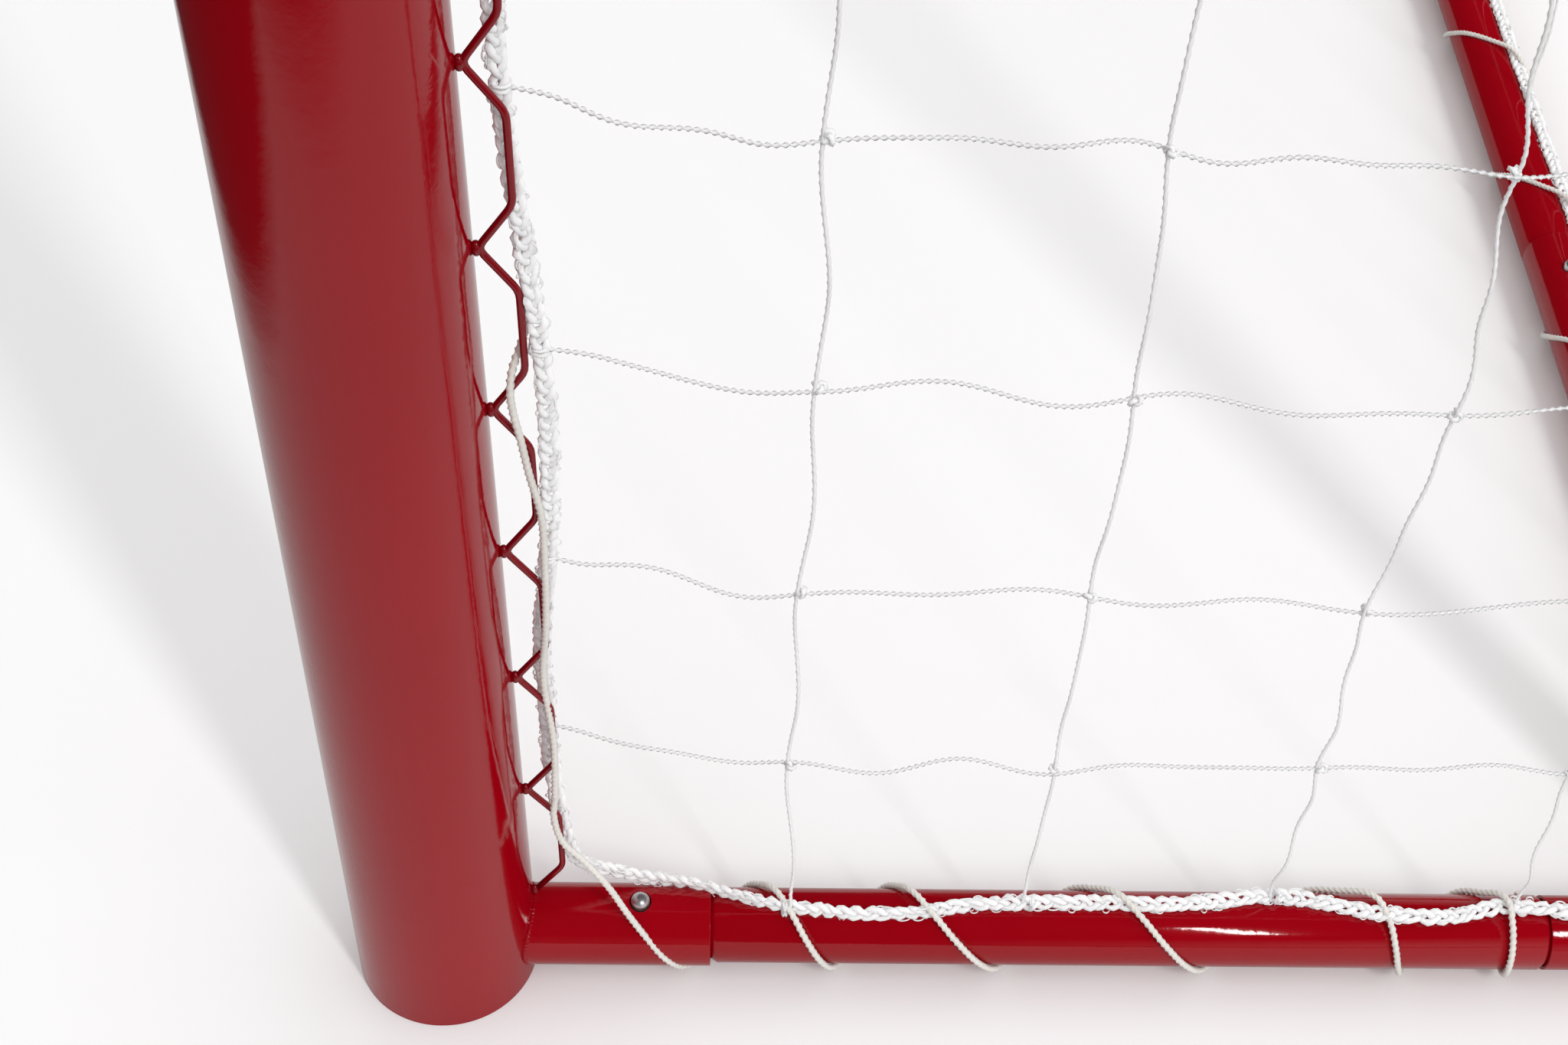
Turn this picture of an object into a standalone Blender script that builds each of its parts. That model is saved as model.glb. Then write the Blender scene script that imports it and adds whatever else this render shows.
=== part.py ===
"""Small soccer goal of plug-together steel tube with a laced net.

Metres, +Z up. The goal line runs along X, the mouth faces -Y, the floor is z = 0
and the origin is under the middle of the whole goal. Places on the frame are written
as behind (metres rearwards of the post's axis), inboard (metres from the side plane
towards the middle) and height above the floor.
"""
import math

import bmesh
import bpy
import numpy as np
from mathutils import Matrix, Vector

# Goal frame
GOAL_WIDTH = 1.8288          # over the outsides of the posts
GOAL_HEIGHT = 1.2192         # floor to the top of the crossbar
BASE_DEPTH = 0.575           # post axis to the rear ground tube's axis
POST_OD = 0.0762
POST_WALL = 0.0016
TUBE_OD = 0.03175
TUBE_WALL = 0.0015
BASE_AXIS_Z = 0.0208         # height of the ground tubes' axes
ELBOW_RADIUS = 0.044         # rear corner bend, on the axis
BOW_RADIUS = 0.064           # bend at the top of each side bow, on the axis
POST_SIDES = 24
TUBE_SIDES = 16
TUBE_TURN = 0.25             # share of a facet that keeps tube edges off the posts' edges
BEND_STEPS = 5

# Plug joints between the tubes
SOCKET_END = 0.1129          # mouth of the post's welded sockets, behind the post axis
SIDE_LEG = 0.0614            # straight side leg of the rear corner, mouth to bend
REAR_LEG = 0.4465            # mouth of the rear corner's long leg, inboard
BOW_SOCKET_TOP = 0.098       # mouth of the upright socket on the rear corner
CORNER_LEG = 0.150           # crossbar stub on the post's mitred corner, from the post axis
TUBE_PLUG_IN = 0.039         # how far a swaged tube end goes in
BAR_PLUG_IN = 0.060          # the same on the crossbar
SWAGE_TAPER = 0.0025         # length of the step down to a swaged end
PLUG_CLEARANCE = 0.0003      # radial play of a swaged end in its socket
SEAM = 0.0003                # play between pieces that touch

# Snap buttons
BUTTON_OD = 0.008
BUTTON_PROUD = 0.0047        # dome height over the socket's outside
BUTTON_DOME = 0.0030
BUTTON_HOLE = 0.0092
BUTTON_SETBACK = 0.0297      # button to the socket's mouth
BAR_BUTTON_SETBACK = 0.035
CLIP_WIDTH = 0.009
CLIP_THICKNESS = 0.0008
CLIP_PAD = 0.013             # length of the leaf under the button
CLIP_REACH = 0.024           # clip length in a tube of no bore, before the bore's share
BUTTON_SIDES = 12
HOLE_TURN = 0.5

# Feet
PLUG_HEIGHT = 0.014
PLUG_FLOOR = 0.003
PLUG_LIP = 0.002
REAR_FOOT_INBOARD = 0.075
REAR_FOOT_LENGTH = 0.040
REAR_FOOT_WIDTH = 0.024
REAR_FOOT_TOP = 0.011

# Lacing wire welded along the back of the posts and the crossbar
WIRE_OD = 0.0026
WIRE_REACH = 0.012           # zigzag depth, node line to outer run
WIRE_FIRST_NODE = 0.0463     # lowest weld over the floor
WIRE_PITCH = 0.0703          # between welds
BAR_WIRE_START = 0.017       # first weld on the crossbar, from the middle
WIRE_DIAGONAL = 0.25         # share of a cell taken by one diagonal

# Net
MESH_PITCH = 0.1016          # square mesh, strand to strand
FIRST_COLUMN = 0.148         # first upright strand behind the post axis
FIRST_ROW = 0.134            # first row over the floor
STRAND = 0.0015
ROPE_OD = 0.005              # border rope
CORD_OD = 0.003              # lacing cord
LACING_SIDES = 8             # points on one turn of lacing round a ground tube
LACING_BESIDE = 0.003        # least clear way along the tube from a button to the lacing
CROSSING = 0.024             # length in which lacing changes sides on the wire
CROSSING_CELLS = 3           # wire cells from one crossing to the next

POST_R = POST_OD / 2
TUBE_R = TUBE_OD / 2
POST_X = GOAL_WIDTH / 2 - POST_R
BAR_Z = GOAL_HEIGHT - POST_R
POST_BORE = POST_R - POST_WALL
TUBE_BORE = TUBE_R - TUBE_WALL
POST_SWAGE = POST_BORE - PLUG_CLEARANCE
TUBE_SWAGE = TUBE_BORE - PLUG_CLEARANCE
ROPE_R = ROPE_OD / 2
CORD_R = CORD_OD / 2
WIRE_R = WIRE_OD / 2
WIRE_NODE = POST_R + SEAM + WIRE_R
WIRE_OUTER = WIRE_NODE + WIRE_REACH
ROPE_BEHIND = WIRE_OUTER + WIRE_R + SEAM + ROPE_R
ROPE_ON_TUBE = TUBE_R + SEAM + ROPE_R
ELBOW_START = BASE_DEPTH - ELBOW_RADIUS
SIDE_JOINT = ELBOW_START - SIDE_LEG

# The bows stand inside the net by a rope's seat, so the net passes flat outside them.
BOW_INSET = ROPE_ON_TUBE
BOW_TURN = math.acos(1 - BOW_INSET / ELBOW_RADIUS)
UPRIGHT_BEHIND = ELBOW_START + ELBOW_RADIUS * math.sin(BOW_TURN)
BACK_NET = UPRIGHT_BEHIND + ROPE_ON_TUBE
ARM_Z = BAR_Z - BOW_INSET
REAR_ROPE_LEAN = math.asin((BACK_NET - BASE_DEPTH) / ROPE_ON_TUBE)
REAR_ROPE_Z = BASE_AXIS_Z + ROPE_ON_TUBE * math.cos(REAR_ROPE_LEAN)
BASE_ROPE_Z = BASE_AXIS_Z + ROPE_ON_TUBE

UP = Vector((0, 0, 1))
ACROSS = Vector((1, 0, 0))
REARWARDS = Vector((0, 1, 0))


def lacing_section(lean):
    """One turn of lacing round a ground tube and the rope on it, as (rearward, up)
    offsets: the corners of a polygon that goes round both circles."""
    swell = 1 / math.cos(math.pi / LACING_SIDES)
    round_tube = (TUBE_R + SEAM + CORD_R) * swell
    round_rope = (ROPE_R + SEAM + CORD_R) * swell
    tangent = math.acos((round_tube - round_rope) / ROPE_ON_TUBE)
    corners = []
    for step in range(LACING_SIDES):
        turn = (step + 0.5) * 2 * math.pi / LACING_SIDES
        from_rope = min(turn, 2 * math.pi - turn)
        over_rope = from_rope < tangent
        radius = round_rope if over_rope else round_tube
        reach = ROPE_ON_TUBE if over_rope else 0.0
        corners.append((reach * math.sin(lean) + radius * math.sin(turn + lean),
                        reach * math.cos(lean) + radius * math.cos(turn + lean)))
    return corners


REAR_SECTION = lacing_section(REAR_ROPE_LEAN)
SIDE_SECTION = lacing_section(0.0)
REAR_REACH = BASE_DEPTH + max(rearward for rearward, _ in REAR_SECTION) + CORD_R
POST_Y = (POST_R - REAR_REACH) / 2


def at(side, behind, inboard, height):
    """World place of a point given from a post: side is 1 for +X and -1 for -X."""
    return Vector((side * (POST_X - inboard), POST_Y + behind, height))


def clear_scene():
    for obj in list(bpy.data.objects):
        bpy.data.objects.remove(obj, do_unlink=True)


def new_collection(name):
    collection = bpy.data.collections.new(name)
    bpy.context.scene.collection.children.link(collection)
    return collection


def new_material(name, colour, roughness, metallic=0.0):
    material = bpy.data.materials.new(name)
    material.use_nodes = True
    shader = material.node_tree.nodes["Principled BSDF"]
    shader.inputs["Base Color"].default_value = (*colour, 1.0)
    shader.inputs["Roughness"].default_value = roughness
    shader.inputs["Metallic"].default_value = metallic
    material.diffuse_color = (*colour, 1.0)
    return material


clear_scene()
GOAL = new_collection("soccer_goal")
CUTTERS = new_collection("cutters")
RED_PAINT = new_material("red_paint", (0.37, 0.002, 0.008), 0.22)
RED_WIRE = new_material("red_wire", (0.30, 0.002, 0.008), 0.3)
BRIGHT_STEEL = new_material("bright_steel", (0.75, 0.76, 0.78), 0.18, 1.0)
SPRING_STEEL = new_material("spring_steel", (0.35, 0.36, 0.38), 0.35, 1.0)
DARK_PLASTIC = new_material("dark_plastic", (0.02, 0.02, 0.02), 0.5)
WHITE_TWINE = new_material("white_twine", (0.80, 0.80, 0.76), 0.9)

FRAME = bpy.data.objects.new("goal_frame", None)
GOAL.objects.link(FRAME)


def add_object(name, data, material, location=(0, 0, 0)):
    """Links mesh or curve data as a part of the goal, hung on the frame's empty."""
    obj = bpy.data.objects.new(name, data)
    obj.location = location
    obj.parent = FRAME
    if material is not None:
        data.materials.append(material)
    GOAL.objects.link(obj)
    return obj


def use_as_tool(obj):
    """Moves an object to the cutters, hidden from renders."""
    GOAL.objects.unlink(obj)
    CUTTERS.objects.link(obj)
    obj.hide_render = True
    obj.display_type = "WIRE"


def combine(target, tool, operation):
    modifier = target.modifiers.new(operation.lower(), "BOOLEAN")
    modifier.operation = operation
    modifier.object = tool
    use_as_tool(tool)


def shade(mesh, degrees=40):
    mesh.shade_smooth()
    mesh.set_sharp_from_angle(angle=math.radians(degrees))


def ring(points, index, radius, normal, sides, turn):
    """Circle of the tube at one path point, laid in the plane that halves its bend."""
    before = points[max(index, 1)] - points[max(index, 1) - 1]
    last = len(points) - 1
    after = points[min(index, last - 1) + 1] - points[min(index, last - 1)]
    along = before.normalized()
    mitre = (before.normalized() + after.normalized()).normalized()
    across = along.cross(normal)
    corners = []
    for step in range(sides):
        angle = 2 * math.pi * (step + turn) / sides
        corner = radius * (math.cos(angle) * normal + math.sin(angle) * across)
        corners.append(points[index] + corner - along * (corner.dot(mitre) / along.dot(mitre)))
    return corners


def pipe(name, points, outer, inner, normal, sides, turn=0.0, material=RED_PAINT):
    """Hollow tube along a bent path: its skin is lofted through outer rings from end to
    end and back through inner ones. With no inner radii it is a capped rod. turn shifts
    the facets round it, as a share of one facet."""
    origin = points[0].copy()
    local = [point - origin for point in points]
    order = list(range(len(points)))
    rings = [ring(local, i, outer[i], normal, sides, turn) for i in order]
    if inner:
        rings += [ring(local, i, inner[i], normal, sides, turn) for i in reversed(order)]
    shape = bmesh.new()
    loops = [[shape.verts.new(corner) for corner in circle] for circle in rings]
    pairs = list(zip(loops, loops[1:]))
    if inner:
        pairs.append((loops[-1], loops[0]))
    else:
        shape.faces.new(loops[0])
        shape.faces.new(loops[-1])
    for first, second in pairs:
        for step in range(sides):
            following = (step + 1) % sides
            shape.faces.new((first[step], first[following], second[following], second[step]))
    bmesh.ops.recalc_face_normals(shape, faces=shape.faces)
    mesh = bpy.data.meshes.new(name)
    shape.to_mesh(mesh)
    shape.free()
    shade(mesh)
    return add_object(name, mesh, material, origin)


def tube(name, points, normal, swaged_start=False, swaged_end=False, bar=False):
    """A steel tube whose chosen ends step down to plug into a socket. The path's ends
    are the sockets' mouths, and a swaged end goes on past its mouth."""
    full = POST_R if bar else TUBE_R
    swage = POST_SWAGE if bar else TUBE_SWAGE
    wall = POST_WALL if bar else TUBE_WALL
    plug_in = BAR_PLUG_IN if bar else TUBE_PLUG_IN
    path = [point.copy() for point in points]
    radii = [full] * len(path)
    if swaged_start:
        back = (path[0] - path[1]).normalized()
        path = [path[0] + back * plug_in, path[0], path[0] - back * SWAGE_TAPER] + path[1:]
        radii = [swage, swage] + radii
    if swaged_end:
        ahead = (path[-1] - path[-2]).normalized()
        path = path[:-1] + [path[-1] - ahead * SWAGE_TAPER, path[-1], path[-1] + ahead * plug_in]
        radii += [swage, swage]
    bores = [radius - wall for radius in radii]
    if bar:
        return pipe(name, path, radii, bores, normal, POST_SIDES)
    return pipe(name, path, radii, bores, normal, TUBE_SIDES, TUBE_TURN)


def arc(centre, first, second, steps, turn=math.pi / 2):
    """Points on a bend: centre plus first turning into second."""
    return [centre + first * math.cos(turn * i / steps) + second * math.sin(turn * i / steps)
            for i in range(steps + 1)]


def drill(target, axis_point, direction, wall_radius):
    """Cuts one button hole through the wall that lies along direction."""
    depth = [wall_radius * 0.55, wall_radius * 1.3]
    sideways = direction.orthogonal().normalized()
    ends = [axis_point + direction * reach for reach in depth]
    hole = pipe(target.name + "_hole", ends, [BUTTON_HOLE / 2] * 2, None, sideways,
                BUTTON_SIDES, HOLE_TURN, None)
    combine(target, hole, "DIFFERENCE")


def weld_socket(target, name, mouth, root, envelope, normal):
    """Welds a short female tube onto target: its root is cut by the target's middle
    wall, so that it starts inside the wall and leaves the bore free."""
    stub = pipe(name, [mouth, root], [TUBE_R] * 2, [TUBE_BORE] * 2, normal, TUBE_SIDES,
                -TUBE_TURN)
    use_as_tool(envelope)
    fishmouth = stub.modifiers.new("fishmouth", "BOOLEAN")
    fishmouth.operation = "DIFFERENCE"
    fishmouth.object = envelope
    combine(target, stub, "UNION")


def make_post(side, label):
    """Post with its mitred top corner, crossbar stub and the two welded tube sockets."""
    foot = at(side, 0, 0, 0)
    corner = at(side, 0, 0, BAR_Z)
    shoulder = at(side, 0, CORNER_LEG, BAR_Z)
    post = tube("post_" + label, [foot, corner, shoulder], REARWARDS, swaged_end=True, bar=True)
    middle = [POST_R - POST_WALL / 2] * 3
    low = pipe(label + "_post_core", [foot, corner, shoulder], middle, None, REARWARDS, POST_SIDES)
    high = pipe(label + "_corner_core", [foot, corner, shoulder], middle, None, REARWARDS,
                POST_SIDES)
    root = POST_R * 0.6
    weld_socket(post, label + "_base_socket", at(side, SOCKET_END, 0, BASE_AXIS_Z),
                at(side, root, 0, BASE_AXIS_Z), low, UP)
    weld_socket(post, label + "_arm_socket", at(side, SOCKET_END, BOW_INSET, ARM_Z),
                at(side, root, BOW_INSET, ARM_Z), high, UP)
    button = SOCKET_END - BUTTON_SETBACK
    drill(post, at(side, button, 0, BASE_AXIS_Z), UP, TUBE_R)
    drill(post, at(side, button, BOW_INSET, ARM_Z), -UP, TUBE_R)
    bar_button = CORNER_LEG + BAR_BUTTON_SETBACK
    drill(post, at(side, 0, bar_button, BAR_Z), -UP, POST_R)
    return post


def make_crossbar():
    """Two crossbar halves: the left one plugs into the right one at the middle."""
    end = POST_X - CORNER_LEG - SEAM
    y_z = Vector((0, POST_Y, BAR_Z))
    left = tube("crossbar_left", [y_z - ACROSS * end, y_z], UP, swaged_end=True, bar=True)
    right = tube("crossbar_right", [y_z + ACROSS * SEAM, y_z + ACROSS * end], UP, bar=True)
    for half, sign in ((left, -1), (right, 1)):
        drill(half, y_z + ACROSS * sign * (end + SEAM - BAR_BUTTON_SETBACK), -UP, POST_R)
        drill(half, y_z + ACROSS * BAR_BUTTON_SETBACK, -UP, POST_R)


def make_side_tube(side, label):
    """Ground tube of one side, swaged at both ends."""
    front = at(side, SOCKET_END + SEAM, 0, BASE_AXIS_Z)
    rear = at(side, SIDE_JOINT - SEAM, 0, BASE_AXIS_Z)
    piece = tube("side_tube_" + label, [front, rear], UP, swaged_start=True, swaged_end=True)
    drill(piece, at(side, SOCKET_END - BUTTON_SETBACK, 0, BASE_AXIS_Z), UP, TUBE_R)
    drill(piece, at(side, SIDE_JOINT + BUTTON_SETBACK, 0, BASE_AXIS_Z), UP, TUBE_R)


def make_rear_corner(side, label):
    """Bent rear corner with a long leg along the back and a socket for the bow."""
    centre = at(side, ELBOW_START, ELBOW_RADIUS, BASE_AXIS_Z)
    outwards = ACROSS * side * ELBOW_RADIUS
    bend = arc(centre, outwards, REARWARDS * ELBOW_RADIUS, BEND_STEPS)
    mouth = at(side, SIDE_JOINT, 0, BASE_AXIS_Z)
    end = at(side, BASE_DEPTH, REAR_LEG, BASE_AXIS_Z)
    path = [mouth] + bend + [end]
    corner = tube("rear_corner_" + label, path, UP)
    core = pipe(label + "_elbow_core", path, [TUBE_R - TUBE_WALL / 2] * len(path), None, UP,
                TUBE_SIDES, TUBE_TURN)
    weld_socket(corner, label + "_bow_socket",
                at(side, UPRIGHT_BEHIND, BOW_INSET, BOW_SOCKET_TOP),
                at(side, UPRIGHT_BEHIND, BOW_INSET, BASE_AXIS_Z + TUBE_R * 0.3), core, ACROSS)
    drill(corner, at(side, SIDE_JOINT + BUTTON_SETBACK, 0, BASE_AXIS_Z), UP, TUBE_R)
    drill(corner, at(side, BASE_DEPTH, REAR_LEG - BUTTON_SETBACK, BASE_AXIS_Z), UP, TUBE_R)


def make_rear_tube():
    """Middle ground tube along the back, swaged at both ends."""
    ends = [at(side, BASE_DEPTH, REAR_LEG + SEAM, BASE_AXIS_Z) for side in (-1, 1)]
    piece = tube("rear_middle_tube", ends, UP, swaged_start=True, swaged_end=True)
    for side in (-1, 1):
        drill(piece, at(side, BASE_DEPTH, REAR_LEG - BUTTON_SETBACK, BASE_AXIS_Z), UP, TUBE_R)


def make_bow(side, label):
    """Upright and arm of one side, one bent tube from the rear corner to the post's top."""
    foot = at(side, UPRIGHT_BEHIND, BOW_INSET, BOW_SOCKET_TOP + SEAM)
    centre = at(side, UPRIGHT_BEHIND - BOW_RADIUS, BOW_INSET, ARM_Z - BOW_RADIUS)
    bend = arc(centre, REARWARDS * BOW_RADIUS, UP * BOW_RADIUS, BEND_STEPS)
    front = at(side, SOCKET_END + SEAM, BOW_INSET, ARM_Z)
    piece = tube("side_bow_" + label, [foot] + bend + [front], ACROSS, swaged_start=True,
                 swaged_end=True)
    drill(piece, at(side, SOCKET_END - BUTTON_SETBACK, BOW_INSET, ARM_Z), -UP, TUBE_R)


def turned(name, profile, sides, material, location=(0, 0, 0)):
    """Solid of revolution about local Z: (radius, height) corners, outer side downwards."""
    mesh = bpy.data.meshes.new(name)
    points = [(radius, 0.0, height) for radius, height in profile]
    mesh.from_pydata(points, [(i, i + 1) for i in range(len(points) - 1)], [])
    obj = add_object(name, mesh, material, location)
    screw = obj.modifiers.new("turn", "SCREW")
    screw.steps = sides
    screw.render_steps = sides
    screw.use_merge_vertices = True
    screw.merge_threshold = 0.00001
    screw.use_smooth_shade = False
    return obj


def make_foot_plug(side, label):
    """Moulded cup that closes the post's lower end, flush with the floor."""
    radius = POST_BORE - SEAM
    profile = [(0, PLUG_FLOOR), (radius - PLUG_LIP, PLUG_FLOOR), (radius - PLUG_LIP, PLUG_HEIGHT),
               (radius, PLUG_HEIGHT), (radius, 0), (0, 0)]
    turned("foot_plug_" + label, profile, POST_SIDES, DARK_PLASTIC, at(side, 0, 0, 0))


def make_rear_foot(side, label):
    """Rubber saddle under the rear ground tube, which carries the back of the goal."""
    bpy.ops.mesh.primitive_cube_add(size=1)
    foot = bpy.context.object
    for collection in list(foot.users_collection):
        collection.objects.unlink(foot)
    GOAL.objects.link(foot)
    foot.name = "rear_foot_" + label
    foot.parent = FRAME
    foot.data.materials.append(DARK_PLASTIC)
    foot.data.transform(Matrix.Diagonal((REAR_FOOT_LENGTH, REAR_FOOT_WIDTH, REAR_FOOT_TOP, 1)))
    foot.location = at(side, BASE_DEPTH, REAR_FOOT_INBOARD, REAR_FOOT_TOP / 2)
    ends = [at(side, BASE_DEPTH, REAR_FOOT_INBOARD + reach, BASE_AXIS_Z)
            for reach in (-REAR_FOOT_LENGTH, REAR_FOOT_LENGTH)]
    seat = pipe(foot.name + "_seat", ends, [TUBE_R + SEAM] * 2, None, UP, TUBE_SIDES, TUBE_TURN,
                None)
    combine(foot, seat, "DIFFERENCE")


def baked(obj, name):
    """Mesh of an object with its modifiers applied; the object is removed."""
    bpy.context.view_layer.update()
    evaluated = obj.evaluated_get(bpy.context.evaluated_depsgraph_get())
    mesh = bpy.data.meshes.new_from_object(evaluated)
    mesh.name = name
    bpy.data.objects.remove(obj, do_unlink=True)
    return mesh


def clip_seat(bore, sides):
    """Height over the tube's axis at which the leaf touches the bore."""
    flat = bore * math.cos(math.pi / sides)
    return math.sqrt(flat ** 2 - (CLIP_WIDTH / 2) ** 2) - SEAM


def button_mesh(name, socket_radius, bore, sides):
    """Domed button on its leaf pad; Z is the way it points, from the tube's axis."""
    top = socket_radius + BUTTON_PROUD
    seat = clip_seat(bore, sides)
    radius = BUTTON_OD / 2
    profile = [(0, top)]
    for share in (0.3, 0.6, 0.85):
        angle = share * math.pi / 2
        profile.append((radius * math.sin(angle), top - BUTTON_DOME * (1 - math.cos(angle))))
    profile += [(radius, top - BUTTON_DOME), (radius, seat - CLIP_THICKNESS / 2),
                (0, seat - CLIP_THICKNESS / 2)]
    pin = turned(name + "_pin", profile, BUTTON_SIDES, None)
    bpy.ops.mesh.primitive_cube_add(size=1)
    pad = bpy.context.object
    pad.data.transform(Matrix.Diagonal((CLIP_PAD, CLIP_WIDTH, CLIP_THICKNESS, 1)))
    pad.data.transform(Matrix.Translation((0, 0, seat - CLIP_THICKNESS / 2)))
    join = pad.modifiers.new("pin", "BOOLEAN")
    join.operation = "UNION"
    join.object = pin
    mesh = baked(pad, name)
    bpy.data.objects.remove(pin, do_unlink=True)
    shade(mesh)
    mesh.materials.clear()
    mesh.materials.append(BRIGHT_STEEL)
    return mesh


def clip_mesh(name, bore, sides):
    """Fixed leg of the V spring: a strip along the bore's far side, folded back up to
    the edge of the button's pad."""
    seat = clip_seat(bore, sides) - CLIP_THICKNESS / 2
    reach = CLIP_REACH + 0.6 * bore
    fold = 0.0025
    tip = Vector((CLIP_PAD / 2 + SEAM + CLIP_THICKNESS / 2, seat - CLIP_THICKNESS, 0))
    outline = [Vector((-CLIP_PAD / 2, -seat, 0)), Vector((reach - fold, -seat, 0))]
    outline += arc(Vector((reach - fold, fold - seat, 0)), Vector((0, -fold, 0)),
                   Vector((fold, 0, 0)), 3)[1:]
    outline.append(tip)
    curve = bpy.data.curves.new(name, "CURVE")
    curve.dimensions = "2D"
    curve.fill_mode = "NONE"
    curve.extrude = CLIP_WIDTH / 2
    spline = curve.splines.new("POLY")
    spline.points.add(len(outline) - 1)
    for point, corner in zip(spline.points, outline):
        point.co = (*corner, 1)
    strip = add_object(name, curve, None)
    ribbon = add_object(name + "_ribbon", baked(strip, name), None)
    bm = bmesh.new()
    bm.from_mesh(ribbon.data)
    bmesh.ops.remove_doubles(bm, verts=bm.verts, dist=0.00001)
    bmesh.ops.recalc_face_normals(bm, faces=bm.faces)
    bm.to_mesh(ribbon.data)
    bm.free()
    wall = ribbon.modifiers.new("leaf", "SOLIDIFY")
    wall.thickness = CLIP_THICKNESS
    wall.offset = 0
    mesh = baked(ribbon, name)
    mesh.transform(Matrix.Rotation(math.pi / 2, 4, "X"))
    mesh.materials.append(SPRING_STEEL)
    return mesh


def place_clip(label, button, clip, origin, inwards, outwards):
    """Puts a button and its clip in a tube: inwards runs down the plugged tube and
    outwards is the way the button points."""
    turn = Matrix((inwards, outwards.cross(inwards), outwards)).transposed()
    for name, mesh in (("snap_button_" + label, button), ("spring_clip_" + label, clip)):
        obj = add_object(name, mesh, None, origin)
        obj.rotation_euler = turn.to_euler()


def make_snap_buttons():
    small_bore = TUBE_SWAGE - TUBE_WALL
    large_bore = POST_SWAGE - POST_WALL
    small = (button_mesh("tube_button", TUBE_R, small_bore, TUBE_SIDES),
             clip_mesh("tube_clip", small_bore, TUBE_SIDES))
    large = (button_mesh("bar_button", POST_R, large_bore, POST_SIDES),
             clip_mesh("bar_clip", large_bore, POST_SIDES))
    for side, label in ((-1, "left"), (1, "right")):
        towards_middle = -ACROSS * side
        place_clip("base_" + label, *small,
                   at(side, SOCKET_END - BUTTON_SETBACK, 0, BASE_AXIS_Z), REARWARDS, UP)
        place_clip("side_" + label, *small,
                   at(side, SIDE_JOINT + BUTTON_SETBACK, 0, BASE_AXIS_Z), -REARWARDS, UP)
        place_clip("rear_" + label, *small,
                   at(side, BASE_DEPTH, REAR_LEG - BUTTON_SETBACK, BASE_AXIS_Z),
                   towards_middle, UP)
        place_clip("arm_" + label, *small,
                   at(side, SOCKET_END - BUTTON_SETBACK, BOW_INSET, ARM_Z), REARWARDS, -UP)
        place_clip("corner_" + label, *large,
                   at(side, 0, CORNER_LEG + BAR_BUTTON_SETBACK, BAR_Z), -towards_middle, -UP)
    place_clip("crossbar", *large, Vector((BAR_BUTTON_SETBACK, POST_Y, BAR_Z)), -ACROSS, -UP)


def wire(name, points, radius, resolution, material, closed=False):
    """Round rod or cord through points, as a bevelled curve with filled ends."""
    curve = bpy.data.curves.new(name, "CURVE")
    curve.dimensions = "3D"
    curve.bevel_depth = radius
    curve.bevel_resolution = resolution
    curve.use_fill_caps = True
    spline = curve.splines.new("POLY")
    spline.points.add(len(points) - 1)
    spline.use_cyclic_u = closed
    for point, place in zip(spline.points, points):
        point.co = (*(place - points[0]), 1)
    return add_object(name, curve, material, points[0])


def zigzag(start, along, outwards, pitch, cells):
    """Lacing wire: weld nodes on the tube with a trapezoid wave between them."""
    points = []
    for cell in range(cells):
        node = start + along * pitch * cell
        points.append(node)
        for share in (WIRE_DIAGONAL, 1 - WIRE_DIAGONAL):
            points.append(node + along * pitch * share + outwards * WIRE_REACH)
    points.append(start + along * pitch * cells)
    return points


def make_lacing_wires():
    post_cells = int((ARM_Z - TUBE_R - WIRE_FIRST_NODE) / WIRE_PITCH)
    bar_cells = int((POST_X - CORNER_LEG - BAR_WIRE_START) / WIRE_PITCH)
    for side, label in ((-1, "left"), (1, "right")):
        wire("lacing_wire_post_" + label,
             zigzag(at(side, WIRE_NODE, 0, WIRE_FIRST_NODE), UP, REARWARDS, WIRE_PITCH, post_cells),
             WIRE_R, 1, RED_WIRE)
        wire("lacing_wire_bar_" + label,
             zigzag(Vector((side * BAR_WIRE_START, POST_Y + WIRE_NODE, BAR_Z)), ACROSS * side,
                    REARWARDS, WIRE_PITCH, bar_cells),
             WIRE_R, 1, RED_WIRE)


def net_panel(name, columns, rows, corner, first, second):
    """Flat net as a real lattice. columns and rows are (start, end, strand places) along
    the first and second directions from corner. A plate is cut at both edges of each
    strand, its windows are removed and the rest gets the strand's thickness."""
    (left, right, uprights), (bottom, top, levels) = columns, rows
    shape = bmesh.new()
    square = [(left, bottom), (right, bottom), (right, top), (left, top)]
    shape.faces.new([shape.verts.new((u, v, 0)) for u, v in square])
    for places, direction in ((uprights, Vector((1, 0, 0))), (levels, Vector((0, 1, 0)))):
        for place in places:
            for edge in (place - STRAND / 2, place + STRAND / 2):
                bmesh.ops.bisect_plane(shape, geom=shape.verts[:] + shape.edges[:] + shape.faces[:],
                                       plane_co=direction * edge, plane_no=direction, dist=1e-7)

    def on_strand(face):
        middle = face.calc_center_median()
        reach = STRAND / 2
        return (any(abs(middle.x - place) < reach for place in uprights)
                or any(abs(middle.y - place) < reach for place in levels))

    windows = [face for face in shape.faces if not on_strand(face)]
    bmesh.ops.delete(shape, geom=windows, context="FACES")
    mesh = bpy.data.meshes.new(name)
    shape.to_mesh(mesh)
    shape.free()
    panel = add_object(name, mesh, WHITE_TWINE, corner)
    panel.rotation_euler = Matrix((first, second, first.cross(second))).transposed().to_euler()
    wall = panel.modifiers.new("twine", "SOLIDIFY")
    wall.thickness = STRAND
    wall.offset = 0


def spread(first, pitch, end):
    """Places from first on, a pitch apart, that stay half a pitch short of end."""
    count = int((end - first) / pitch + 0.5)
    return [first + pitch * i for i in range(count)]


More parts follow.
